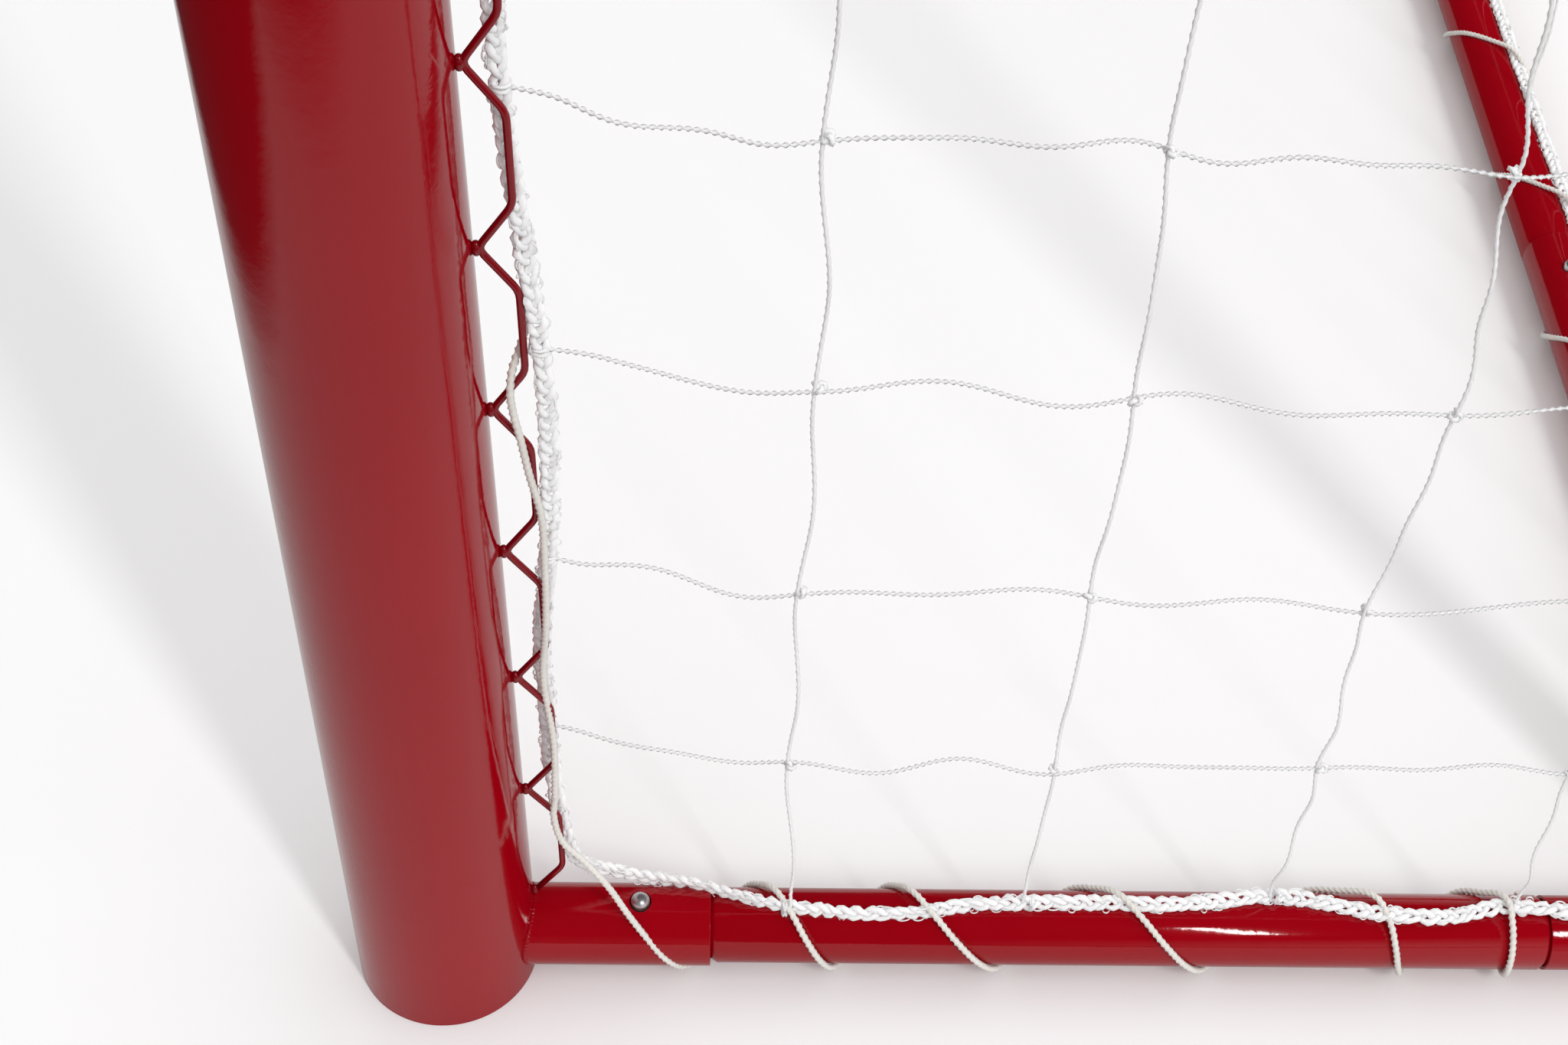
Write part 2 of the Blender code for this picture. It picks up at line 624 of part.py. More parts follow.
def make_nets():
    """Side, back and top panels. They hang on the rope at the frame and on each other.
    The back has every second upright strand here, and the top every second one both ways."""
    front = ROPE_BEHIND + ROPE_R + SEAM
    beside = STRAND / 2 + SEAM
    uprights = spread(FIRST_COLUMN, MESH_PITCH, BACK_NET)
    levels = spread(FIRST_ROW, MESH_PITCH, BAR_Z)
    for side, label in ((-1, "left"), (1, "right")):
        net_panel("net_side_" + label,
                  (front, BACK_NET - beside, uprights),
                  (BASE_ROPE_Z + ROPE_R + SEAM, BAR_Z - beside, levels),
                  at(side, 0, 0, 0), REARWARDS, UP)
    half = spread(MESH_PITCH, MESH_PITCH, POST_X)
    across = [-place for place in reversed(half)] + [0.0] + half
    edge = POST_X + STRAND / 2
    wide = across[::2]
    net_panel("net_back", (-edge, edge, [-POST_X] + wide + [POST_X]),
              (REAR_ROPE_Z + ROPE_R + SEAM, BAR_Z - beside, levels),
              Vector((0, POST_Y + BACK_NET, 0)), ACROSS, UP)
    top_edge = BACK_NET + STRAND / 2
    net_panel("net_top", (-edge, edge, [-POST_X] + wide + [POST_X]),
              (front, top_edge, uprights[::2] + [BACK_NET]),
              Vector((0, POST_Y, BAR_Z)), ACROSS, REARWARDS)


# Border rope where it leaves the post's wire, passes inside the button and climbs onto
# the side tube, and where it passes the next button and goes round the bow, as
# (behind, inboard, height).
ROPE_AT_POST = [
    (ROPE_BEHIND, 0.0, 0.085),
    (ROPE_BEHIND + 0.002, 0.002, 0.068),
    (ROPE_BEHIND + 0.008, 0.006, 0.055),
    (ROPE_BEHIND + 0.018, 0.010, 0.0455),
    (SOCKET_END - 0.0265, 0.0115, BASE_ROPE_Z - 0.001),
    (SOCKET_END - 0.0045, 0.0085, BASE_ROPE_Z - 0.0015),
    (SOCKET_END + 0.0155, 0.003, BASE_ROPE_Z),
    (SOCKET_END + 0.0355, 0.0, BASE_ROPE_Z),
]
ROPE_AT_CORNER = [
    (SIDE_JOINT + 0.006, 0.0, BASE_ROPE_Z),
    (SIDE_JOINT + 0.018, -0.005, BASE_ROPE_Z - 0.0004),
    (SIDE_JOINT + BUTTON_SETBACK, -0.0093, BASE_ROPE_Z - 0.002),
    (ELBOW_START + 0.006, -0.0065, BASE_ROPE_Z - 0.001),
    (ELBOW_START + 0.022, -0.001, BASE_ROPE_Z),
    (UPRIGHT_BEHIND + 0.006, 0.0, BASE_ROPE_Z - 0.001),
    (BACK_NET - 0.003, 0.006, BASE_ROPE_Z - 0.002),
    (BACK_NET, 0.018, REAR_ROPE_Z),
    (BACK_NET, 0.060, REAR_ROPE_Z),
]
ROPE_CORNER = 0.010


def make_border_rope():
    """One closed rope: up a post, along the crossbar, down and round the base."""
    top = at(1, ROPE_BEHIND, 0, BAR_Z)
    bend = [(0.0, ROPE_CORNER), (0.3 * ROPE_CORNER, 0.3 * ROPE_CORNER), (ROPE_CORNER, 0.0)]
    right = [at(1, *place) for place in reversed(ROPE_AT_CORNER)]
    right += [at(1, *place) for place in reversed(ROPE_AT_POST)]
    right += [top + Vector((-inboard, 0, -down)) for inboard, down in bend]
    left = [Vector((-point.x, point.y, point.z)) for point in reversed(right)]
    wire("border_rope", right + left, ROPE_R, 1, WHITE_TWINE, closed=True)


def least_self_gap(points, radius, turn_points):
    """Smallest clear distance between a coil's own turns, at its points."""
    places = np.array([tuple(point) for point in points])
    distance = np.linalg.norm(places[:, None] - places[None], axis=2)
    order = np.arange(len(places))
    apart = np.abs(order[:, None] - order[None]) > turn_points // 2
    return float(distance[apart].min()) - 2 * radius


def spiral(section, station_points, frame_of):
    """Lacing coil: one corner of the section at each step along the stations."""
    points = []
    for step, along in enumerate(station_points):
        rearward, up = section[step % LACING_SIDES]
        points.append(frame_of(along, rearward, up))
    return points


def turn_places(first_crossing, pitch, turns):
    """Even steps along the tube, so that corner 0 comes just after each crossing over
    the rope, from half a turn before the first one to half a turn after the last."""
    step = pitch / LACING_SIDES
    start = first_crossing - pitch / 2 + step / 2
    return [start + step * i for i in range(turns * LACING_SIDES)]


def beside_buttons(places, buttons):
    """A turn whose stretch over the tube's top, from corner 2 to corner 3, would run over
    a button moves along the tube and clear of it. Corners up to a turn away give way
    less and less."""
    room = BUTTON_OD / 2 + CORD_R + LACING_BESIDE
    moved = list(places)
    for corner in range(LACING_SIDES // 4, len(places) - 1, LACING_SIDES):
        for button in buttons:
            offset = (places[corner] + places[corner + 1]) / 2 - button
            if abs(offset) < room:
                shift = math.copysign(room, offset) - offset
                for index in range(len(places)):
                    away = max(abs(index - corner - 0.5) - 0.5, 0) / LACING_SIDES
                    moved[index] += shift * max(1 - away, 0)
    return moved


def make_ground_lacing():
    """Cord wound round the ground tubes and the rope on them."""
    half = LACING_SIDES // 2
    side_section = SIDE_SECTION[half:] + SIDE_SECTION[:half]
    rear_section = REAR_SECTION[half:] + REAR_SECTION[:half]
    pitch = MESH_PITCH * 2 / 3
    first = FIRST_COLUMN + MESH_PITCH / 6
    turns = int((ELBOW_START - first) / pitch)
    for side, label in ((-1, "left"), (1, "right")):
        points = spiral(side_section, turn_places(first, pitch, turns),
                        lambda along, out, up: at(side, along, -out, BASE_AXIS_Z + up))
        wire("lacing_side_" + label, points, CORD_R, 0, WHITE_TWINE)
        print("lacing_side least gap mm", 1000 * least_self_gap(points, CORD_R, LACING_SIDES))
    room = POST_X - REAR_FOOT_INBOARD - REAR_FOOT_LENGTH / 2 - SEAM
    turns = 2 * int(room / MESH_PITCH)
    start = -MESH_PITCH * (turns - 1) / 2
    button = POST_X - REAR_LEG + BUTTON_SETBACK
    places = beside_buttons(turn_places(start, MESH_PITCH, turns), (-button, button))
    points = spiral(rear_section, places,
                    lambda along, back, up: Vector((along, POST_Y + BASE_DEPTH + back,
                                                    BASE_AXIS_Z + up)))
    wire("lacing_rear", points, CORD_R, 0, WHITE_TWINE)
    print("lacing_rear least gap mm", 1000 * least_self_gap(points, CORD_R, LACING_SIDES))


def wire_lacing(first, last, crossings, place):
    """Cord along a lacing wire's outer run and the rope beside it. It runs straight at
    one side and crosses to the other behind the rope and before the wire by turns.
    place(along, behind, sideways) gives a world point."""
    beside = (ROPE_R + SEAM + CORD_R) * 1.05
    rear = ROPE_BEHIND + beside
    front = WIRE_OUTER - (WIRE_R + SEAM + CORD_R) * 1.05
    middle = (WIRE_OUTER + ROPE_BEHIND) / 2
    points = [place(first, middle, beside)]
    sign = 1
    for number, station in enumerate(crossings):
        far = rear if number % 2 else front
        for share in (-0.5, -0.2, 0.2, 0.5):
            deep = far if abs(share) < 0.3 else middle + (far - middle) * 0.35
            across = 0.45 if abs(share) < 0.3 else 1.0
            points.append(place(station + share * CROSSING, deep,
                                -sign * math.copysign(across, share) * beside))
        sign = -sign
    points.append(place(last, middle, sign * beside))
    return points


def crossing_places(first_weld, first_cell, end):
    """Middles of every few wire cells, from one cell on."""
    first = first_weld + WIRE_PITCH * (first_cell + 0.5)
    return spread(first, WIRE_PITCH * CROSSING_CELLS, end)


def make_wire_lacing():
    bottom = WIRE_FIRST_NODE + WIRE_PITCH
    top = BAR_Z - WIRE_PITCH
    crossings = crossing_places(WIRE_FIRST_NODE, 1, top)
    for side, label in ((-1, "left"), (1, "right")):
        points = wire_lacing(bottom, top, crossings,
                             lambda along, behind, across: at(side, behind, across, along))
        wire("lacing_post_" + label, points, CORD_R, 0, WHITE_TWINE)
    half = crossing_places(BAR_WIRE_START, 0, POST_X - CORNER_LEG)
    crossings = [-place for place in reversed(half)] + half
    reach = half[-1] + WIRE_PITCH / 3
    points = wire_lacing(-reach, reach, crossings,
                         lambda along, behind, across: Vector((along, POST_Y + behind,
                                                               BAR_Z + across)))
    wire("lacing_bar", points, CORD_R, 0, WHITE_TWINE)


def main():
    for side, label in ((-1, "left"), (1, "right")):
        make_post(side, label)
        make_foot_plug(side, label)
        make_side_tube(side, label)
        make_rear_corner(side, label)
        make_bow(side, label)
        make_rear_foot(side, label)
    make_crossbar()
    make_rear_tube()
    make_snap_buttons()
    make_lacing_wires()
    make_nets()
    make_border_rope()
    make_ground_lacing()
    make_wire_lacing()


main()
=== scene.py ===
"""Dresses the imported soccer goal: painted tubes, welded wire, string net, rope and lacing.

Metres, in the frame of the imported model: the goal line runs along X, the mouth faces -Y
and the floor is z = 0. The right half is worked out and mirrored for the left one.
"""
import math

import bpy
import numpy as np
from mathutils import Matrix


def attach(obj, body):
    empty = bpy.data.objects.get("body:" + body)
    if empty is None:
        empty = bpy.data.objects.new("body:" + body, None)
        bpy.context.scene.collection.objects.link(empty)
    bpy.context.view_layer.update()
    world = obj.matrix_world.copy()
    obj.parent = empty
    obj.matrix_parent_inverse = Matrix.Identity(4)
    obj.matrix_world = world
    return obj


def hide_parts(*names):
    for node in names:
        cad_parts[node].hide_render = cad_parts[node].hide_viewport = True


bl_info = {
    "name": "Soccer Goal",
    "version": (1, 0, 0),
    "blender": (4, 5, 0),
    "location": "3D View > Sidebar > Goal",
    "description": "Builds a small plug-together soccer goal with a laced string net",
    "category": "Object",
}

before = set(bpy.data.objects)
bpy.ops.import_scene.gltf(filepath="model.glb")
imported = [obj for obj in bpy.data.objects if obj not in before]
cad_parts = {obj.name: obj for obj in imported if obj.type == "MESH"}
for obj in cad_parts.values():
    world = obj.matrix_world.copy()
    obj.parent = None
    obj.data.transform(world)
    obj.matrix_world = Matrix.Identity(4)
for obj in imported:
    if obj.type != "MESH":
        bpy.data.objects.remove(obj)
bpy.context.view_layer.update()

# Main sizes, as in the part's source
POST_R = 0.0381
POST_WALL = 0.0016
TUBE_R = 0.015875
TUBE_WALL = 0.0015
POST_X = 0.8763
POST_Y = -0.27854632
BAR_Z = 1.1811
BASE_AXIS_Z = 0.0208
BASE_DEPTH = 0.575
SOCKET_END = 0.1129
ELBOW_RADIUS = 0.044
ELBOW_START = BASE_DEPTH - ELBOW_RADIUS
SIDE_JOINT = ELBOW_START - 0.0614
REAR_LEG = 0.4465
BOW_RADIUS = 0.064
BOW_SOCKET_TOP = 0.098
CORNER_LEG = 0.150
TUBE_PLUG_IN = 0.039
BAR_PLUG_IN = 0.060
SWAGE_TAPER = 0.0025
PLAY = 0.0003
POST_SWAGE = POST_R - POST_WALL - PLAY
TUBE_SWAGE = TUBE_R - TUBE_WALL - PLAY
BUTTON_R = 0.004
BUTTON_PROUD = 0.0047
BUTTON_HOLE_R = 0.0046
BUTTON_SETBACK = 0.0297
BAR_BUTTON_SETBACK = 0.035
REAR_FOOT_INBOARD = 0.075
WIRE_R = 0.0013
WIRE_NODE = POST_R + PLAY + WIRE_R
WIRE_REACH = 0.012
WIRE_OUTER = WIRE_NODE + WIRE_REACH
WIRE_FIRST_NODE = 0.0463
WIRE_PITCH = 0.0703
BAR_WIRE_START = 0.017
WIRE_DIAGONAL = 0.25
MESH_PITCH = 0.1016
FIRST_COLUMN = 0.148
FIRST_ROW = 0.134
ROPE_R = 0.0025
CORD_R = 0.0015
ROPE_BEHIND = WIRE_OUTER + WIRE_R + PLAY + ROPE_R
ROPE_ON_TUBE = TUBE_R + PLAY + ROPE_R
BOW_INSET = ROPE_ON_TUBE
BOW_TURN = math.acos(1 - BOW_INSET / ELBOW_RADIUS)
UPRIGHT_BEHIND = ELBOW_START + ELBOW_RADIUS * math.sin(BOW_TURN)
BACK_NET = UPRIGHT_BEHIND + ROPE_ON_TUBE
ARM_Z = BAR_Z - BOW_INSET
REAR_LEAN = math.asin((BACK_NET - BASE_DEPTH) / ROPE_ON_TUBE)
REAR_ROPE_Z = BASE_AXIS_Z + ROPE_ON_TUBE * math.cos(REAR_LEAN)
BASE_ROPE_Z = BASE_AXIS_Z + ROPE_ON_TUBE

POST_COLUMNS = 112
TUBE_COLUMNS = 64
WINDOW = 6                   # grid cells from a button hole's middle to its window's edge
RIM = 0.004                  # last ring of cells at a tube's mouth
RIM_ROUND = 0.00035
ROOT_SINK = 0.0006           # how far a welded socket's skin goes on inside the post's
BEAD_LIFT = 0.0004
BEAD_RIPPLE = 0.0016
BEND_ROWS = 12
CORD_STEP = 0.0006           # from one ring of the lacing cord to the next
KNOT_SIZE = 0.00155
KNOT_TWINE_R = 0.0010
HITCH_R = 0.0028
LOOSE_LOOPS = 1100

X = np.array((1.0, 0.0, 0.0))
Y = np.array((0.0, 1.0, 0.0))
Z = np.array((0.0, 0.0, 1.0))
RNG_SEED = 7


# Arrays and grids

def unit(vectors):
    """Each vector divided by its length."""
    return vectors / np.linalg.norm(vectors, axis=-1, keepdims=True)


def at(behind, inboard, height):
    """Point given from the right post: metres rearwards of its axis, inboard and up."""
    behind, inboard, height = np.broadcast_arrays(behind, inboard, height)
    return np.stack([POST_X - inboard, POST_Y + behind, height], -1).astype(float)


class Skin:
    """Points, faces and UVs (in metres on the surface) of one piece, grid by grid."""

    def __init__(self):
        self.points = []
        self.faces = []
        self.uvs = []
        self.count = 0

    def grid(self, points, across=1.0, along=1.0, closed=(False, True), keep=None, caps=False):
        """Adds a grid of (rows, columns) points. Each cell is the quad of a point, its
        neighbour across, the one beyond and the neighbour along; a closed way joins its
        last line to the first. across and along are UV sizes of the whole grid or one
        value for each line. keep is True for the cells to make."""
        rows, columns = points.shape[:2]
        ways = [rows + closed[0], columns + closed[1]]
        sizes = [np.asarray(size, float) * (np.linspace(0, 1, n) if np.ndim(size) == 0 else 1)
                 for size, n in zip((along, across), ways)]
        row, column = np.meshgrid(np.arange(ways[0] - 1), np.arange(ways[1] - 1), indexing="ij")
        if keep is not None:
            row, column = row[keep], column[keep]
        row, column = row.ravel(), column.ravel()
        corners = [(row, column), (row, column + 1), (row + 1, column + 1), (row + 1, column)]
        self.faces.append(np.stack([(r % rows) * columns + c % columns for r, c in corners], -1)
                          + self.count)
        self.uvs.append(np.stack([np.stack([sizes[1][c], sizes[0][r]], -1) for r, c in corners],
                                 1).reshape(-1, 2))
        if caps:
            ring = np.arange(columns)
            for line in (ring[::-1], ring + (rows - 1) * columns):
                self.faces.append(line[None] + self.count)
                self.uvs.append(np.zeros((columns, 2)))
        self.points.append(points.reshape(-1, 3))
        self.count += rows * columns
        return self

    def copies(self, shapes, closed=(True, True), across=0.004, along=0.02):
        """Adds many like grids at once: shapes is (how many, rows, columns, 3)."""
        number, rows, columns = shapes.shape[:3]
        pattern = Skin().grid(shapes[0], across, along, closed, caps=not closed[0])
        shift = np.arange(number)[:, None, None] * rows * columns
        for faces, uvs in zip(pattern.faces, pattern.uvs):
            self.faces.append((faces[None] + shift).reshape(-1, faces.shape[1]) + self.count)
            self.uvs.append(np.tile(uvs, (number, 1)))
        self.points.append(shapes.reshape(-1, 3))
        self.count += number * rows * columns
        return self

    def mirrored(self):
        """The same piece for the left half: X changes sign and each face turns round."""
        other = Skin()
        other.count = self.count
        other.points = [points * (-1, 1, 1) for points in self.points]
        other.faces = [faces[:, ::-1] for faces in self.faces]
        other.uvs = [uv.reshape(*faces.shape, 2)[:, ::-1].reshape(-1, 2)
                     for uv, faces in zip(self.uvs, self.faces)]
        return other

    def build(self, name, material, slot=None, replaces=(), sharp=40, wall=None, body="goal"):
        """Makes the mesh object, with unused points left out, and has it ride its body.
        A tube's skin has a wall, which is its steel's thickness."""
        points = np.concatenate(self.points)
        sizes = np.concatenate([np.full(len(faces), faces.shape[1]) for faces in self.faces])
        loops = np.concatenate([faces.ravel() for faces in self.faces])
        used, loops = np.unique(loops, return_inverse=True)
        mesh = bpy.data.meshes.new(name)
        mesh.vertices.add(len(used))
        mesh.vertices.foreach_set("co", points[used].astype(np.float32).ravel())
        mesh.loops.add(len(loops))
        mesh.loops.foreach_set("vertex_index", loops.astype(np.int32).ravel())
        mesh.polygons.add(len(sizes))
        starts = np.concatenate([[0], np.cumsum(sizes)[:-1]])
        mesh.polygons.foreach_set("loop_start", starts.astype(np.int32))
        mesh.update(calc_edges=True)
        layer = mesh.uv_layers.new(name="surface")
        layer.data.foreach_set("uv", np.concatenate(self.uvs).astype(np.float32).ravel())
        mesh.shade_smooth()
        if sharp:
            mesh.set_sharp_from_angle(angle=math.radians(sharp))
        mesh.materials.append(material)
        piece = bpy.data.objects.new(name, mesh)
        bpy.context.scene.collection.objects.link(piece)
        if body:
            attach(piece, body)
        if replaces:
            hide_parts(*replaces)
        if wall:
            shell(piece, wall)
        return piece


def both_sides(skin, name, material, slot, node=None, sharp=40, wall=None):
    """Builds a piece for the right half and its mirror image for the left one. The nodes
    they replace are called node and the side."""
    for side, half in (("right", skin), ("left", skin.mirrored())):
        half.build(name + side, material, slot, [node + side] if node else [], sharp, wall)


def rounded(points, radius, steps=5):
    """Path whose inner corners are cut back by the radius, at most 0.45 of a leg, and
    rounded by the quadratic curve between the two cuts."""
    points = np.asarray(points, float)
    legs = np.diff(points, axis=0)
    lengths = np.linalg.norm(legs, axis=1, keepdims=True)
    way = legs / lengths
    cut = np.minimum(radius, 0.45 * np.minimum(lengths[:-1], lengths[1:]))
    corner = points[1:-1]
    share = np.linspace(0, 1, steps)[None, :, None]
    first, last = (corner - way[:-1] * cut)[:, None], (corner + way[1:] * cut)[:, None]
    curve = (1 - share) ** 2 * first + 2 * share * (1 - share) * corner[:, None] + share ** 2 * last
    return np.concatenate([points[:1], curve.reshape(-1, 3), points[-1:]])


def through(points, step):
    """Smooth path through points: on each stretch the cubic whose end directions come
    from the neighbours, sampled again at even steps of its length."""
    points = np.asarray(points, float)
    padded = np.concatenate([[2 * points[0] - points[1]], points,
                             [2 * points[-1] - points[-2]]])
    before, starts, ends, beyond = padded[:-3], padded[1:-2], padded[2:-1], padded[3:]
    share = np.linspace(0, 1, 24, endpoint=False)[None, :, None]
    length = np.linalg.norm(ends - starts, axis=1)[:, None]
    back = np.maximum(np.linalg.norm(starts - before, axis=1)[:, None], 1e-9)
    ahead = np.maximum(np.linalg.norm(beyond - ends, axis=1)[:, None], 1e-9)
    leave = length * unit((starts - before) / back + (ends - starts) / length)
    reach = length * unit((ends - starts) / length + (beyond - ends) / ahead)
    leave, reach = leave[:, None], reach[:, None]
    curve = ((2 * share ** 3 - 3 * share ** 2 + 1) * starts[:, None]
             + (share ** 3 - 2 * share ** 2 + share) * leave
             + (3 * share ** 2 - 2 * share ** 3) * ends[:, None]
             + (share ** 3 - share ** 2) * reach)
    return evenly(np.concatenate([curve.reshape(-1, 3), points[-1:]]), step)


def lengths_along(path):
    """Distance from the path's start at each of its points."""
    return np.concatenate([[0], np.cumsum(np.linalg.norm(np.diff(path, axis=0), axis=1))])


def between(places, keys, values):
    """Rows of values at the places, on straight lines between those of the keys."""
    return np.stack([np.interp(places, keys, column) for column in values.T], -1)


def evenly(path, step):
    """The same path with its points about a step apart."""
    run = lengths_along(path)
    return between(np.linspace(0, run[-1], max(int(round(run[-1] / step)), 2) + 1), run, path)


def finer(ring, parts=4):
    """A closed line of points with each of its stretches cut into parts."""
    places = np.arange(0, len(ring), 1 / parts)
    return between(places, np.arange(len(ring) + 1), np.concatenate([ring, ring[:1]]))


def frames(path, reference):
    """Direction of the path at each point, the reference turned square to it, and the
    cross product of the two."""
    way = unit(np.gradient(path, axis=0))
    reference = np.broadcast_to(reference, path.shape)
    normal = unit(reference - (reference * way).sum(-1, keepdims=True) * way)
    return way, normal, np.cross(way, normal)


def around(columns):
    """Even angles round a section."""
    return np.arange(columns) * 2 * math.pi / columns


def circles(centre, first, second, radius, angles):
    """A ring of points round each centre: the centre plus radius times cos(angle) of the
    first direction and sin(angle) of the second. The last way of radius and angles is
    the one round the ring, so a lobed section is a radius for each angle."""
    radius, angles = np.asarray(radius)[..., None], np.asarray(angles)[..., None]
    return centre[..., None, :] + radius * (np.cos(angles) * first[..., None, :]
                                            + np.sin(angles) * second[..., None, :])


def carried(path, reference, radius, angles):
    """Circle or lobed section carried along a path, with angle 0 towards the reference."""
    _, normal, across = frames(path, reference)
    return circles(path, normal, across, radius, angles)


def cord(skin, path, reference, radius, lay, plies=3, columns=6, depth=0.18):
    """Laid cord: a section with one lobe for each ply, radius times (1 - depth + depth
    cos(plies angle)), which turns once in each lay length along the path."""
    run = lengths_along(path)
    angles = around(columns)
    lobes = radius * (1 - depth + depth * np.cos(plies * angles))
    twisted = angles + 2 * math.pi * run[:, None] / lay
    skin.grid(carried(path, reference, lobes, twisted), 2 * math.pi * radius, run, caps=True)


# Materials

def linear(colour):
    """sRGB hex text to linear red, green, blue and alpha."""
    parts = [int(colour[i:i + 2], 16) / 255 for i in (0, 2, 4)]
    return tuple(c / 12.92 if c <= 0.04045 else ((c + 0.055) / 1.055) ** 2.4 for c in parts) + (1,)


def add(tree, kind, inputs=None, **settings):
    """Adds one node with its settings; inputs gives a value or another node's output."""
    made = tree.nodes.new(kind)
    for key, value in settings.items():
        setattr(made, key, value)
    for key, value in (inputs or {}).items():
        if isinstance(value, bpy.types.NodeSocket):
            tree.links.new(value, made.inputs[key])
        else:
            made.inputs[key].default_value = value
    return made


def start_material(name, **constants):
    """New material with its shader's constants set on the shader's own sockets."""
    material = bpy.data.materials.new(name)
    material.use_nodes = True
    tree = material.node_tree
    shader = tree.nodes["Principled BSDF"]
    for key, value in constants.items():
        shader.inputs[key.replace("_", " ")].default_value = value
    return material, tree, shader


def two_tone(tree, factor, dark, light):
    """Colour between two by a factor; each is hex text or another node's output."""
    dark, light = (linear(tone) if isinstance(tone, str) else tone for tone in (dark, light))
    return add(tree, "ShaderNodeMix", {0: factor, 6: dark, 7: light}, data_type="RGBA").outputs[2]


def ranged(tree, factor, low, high):
    """Maps a factor from 0..1 to low..high."""
    return add(tree, "ShaderNodeMapRange",
               {"Value": factor, "To Min": low, "To Max": high}).outputs[0]


def share_of(tree, value, first, last):
    """Maps a value from first..last to 0..1."""
    return add(tree, "ShaderNodeMapRange",
               {"Value": value, "From Min": first, "From Max": last}).outputs[0]


def place_on(tree):
    """Place on the piece, in metres."""
    return add(tree, "ShaderNodeTexCoord").outputs["Object"]


def noise(tree, place, scale, detail=2.0):
    """Cloudy noise with about scale crests to the metre."""
    return add(tree, "ShaderNodeTexNoise",
               {"Vector": place, "Scale": scale, "Detail": detail}).outputs[0]


def relief(tree, shader, height, strength, distance):
    """Raises a shader's surface by a height, on top of any relief that it has."""
    inputs = {"Height": height, "Strength": strength, "Distance": distance}
    normal = shader.inputs["Normal"]
    if normal.is_linked:
        inputs["Normal"] = normal.links[0].from_socket
    tree.links.new(add(tree, "ShaderNodeBump", inputs).outputs[0], normal)


def powder_coat(name, dark, light, roughness):
    """Gloss polyester powder coat, sprayed and baked on steel: a deep even red with
    mirror-like gloss that waves a little, because the powder flows out unevenly."""
    material, tree, shader = start_material(name, IOR=1.42)
    place = place_on(tree)
    cloud = noise(tree, place, 9.0, 3.0)
    # Orange peel is 1 to 2 mm from crest to crest
    peel = noise(tree, place, 620.0, 1.5)
    slow = noise(tree, place, 70.0)
    tree.links.new(two_tone(tree, cloud, dark, light), shader.inputs["Base Color"])
    gloss = ranged(tree, slow, roughness * 0.8, roughness * 1.25)
    tree.links.new(gloss, shader.inputs["Roughness"])
    relief(tree, shader, peel, 0.10, 0.0002)
    relief(tree, shader, slow, 0.12, 0.0010)
    return material


def metal(name, dark, light, roughness, grain):
    """Bright nickel-chrome plate or cold-rolled spring steel: a metal with fine drawn
    lines across the surface, grain lines to the metre."""
    material, tree, shader = start_material(name, Metallic=1.0)
    drawn = add(tree, "ShaderNodeMapping",
                {"Vector": place_on(tree), "Scale": (0.15, 1.0, 1.0)}).outputs[0]
    lines = noise(tree, drawn, grain, 3.0)
    tree.links.new(two_tone(tree, lines, dark, light), shader.inputs["Base Color"])
    dullness = ranged(tree, lines, roughness * 0.7, roughness * 1.4)
    tree.links.new(dullness, shader.inputs["Roughness"])
    relief(tree, shader, lines, 0.05, 0.0001)
    return material


def moulded_plastic(name, dark, light):
    """Black polyethylene, injection moulded with a fine spark-eroded texture: a dull
    near-black with lighter scuffs in cloudy patches all over."""
    material, tree, shader = start_material(name, IOR=1.51)
    place = place_on(tree)
    # Spark-eroded grain of about half a millimetre
    grain = noise(tree, place, 1800.0)
    scuffs = noise(tree, place, 160.0, 6.0)
    tree.links.new(two_tone(tree, scuffs, dark, light), shader.inputs["Base Color"])
    tree.links.new(ranged(tree, scuffs, 0.38, 0.6), shader.inputs["Roughness"])
    relief(tree, shader, grain, 0.25, 0.00015)
    return material


def white_fibre(name, dark, light):
    """Bulked white polyester yarn, spun and laid or knitted: matt and slightly downy. Its darker
    tone is painted shade meant for the grooves between the plies, mixed with soil; fibre and soil
    noises lay it in aslant streaks and patches. The UV runs in metres round and along the cord;
    fibres of 0.12 mm lie aslant in each ply, coarser than the real 0.02 mm, which would not show."""
    material, tree, shader = start_material(name, IOR=1.46, Roughness=0.78, Sheen_Weight=0.2,
                                            Sheen_Roughness=0.5, Subsurface_Weight=0.6,
                                            Subsurface_Scale=0.0015,
                                            Subsurface_Radius=(1.0, 0.98, 0.95))
    run = add(tree, "ShaderNodeUVMap", uv_map="surface").outputs[0]
    aslant = add(tree, "ShaderNodeMapping", {"Vector": run, "Rotation": (0, 0, 0.6),
                                             "Scale": (1.0, 0.12, 1.0)}).outputs[0]
    fibres = noise(tree, aslant, 8000.0)
    soil = noise(tree, place_on(tree), 55.0, 4.0)
    # Painted shade and soil: the darker tone, meant for the grooves between the plies, goes where
    # the fibre and soil noises are low
    both = add(tree, "ShaderNodeMath", {0: fibres, 1: soil}, operation="ADD").outputs[0]
    mixed = add(tree, "ShaderNodeMath", {0: both, 1: 0.62}, operation="MULTIPLY").outputs[0]
    tree.links.new(two_tone(tree, mixed, dark, light), shader.inputs["Base Color"])
    relief(tree, shader, fibres, 0.3, 0.0002)
    return material


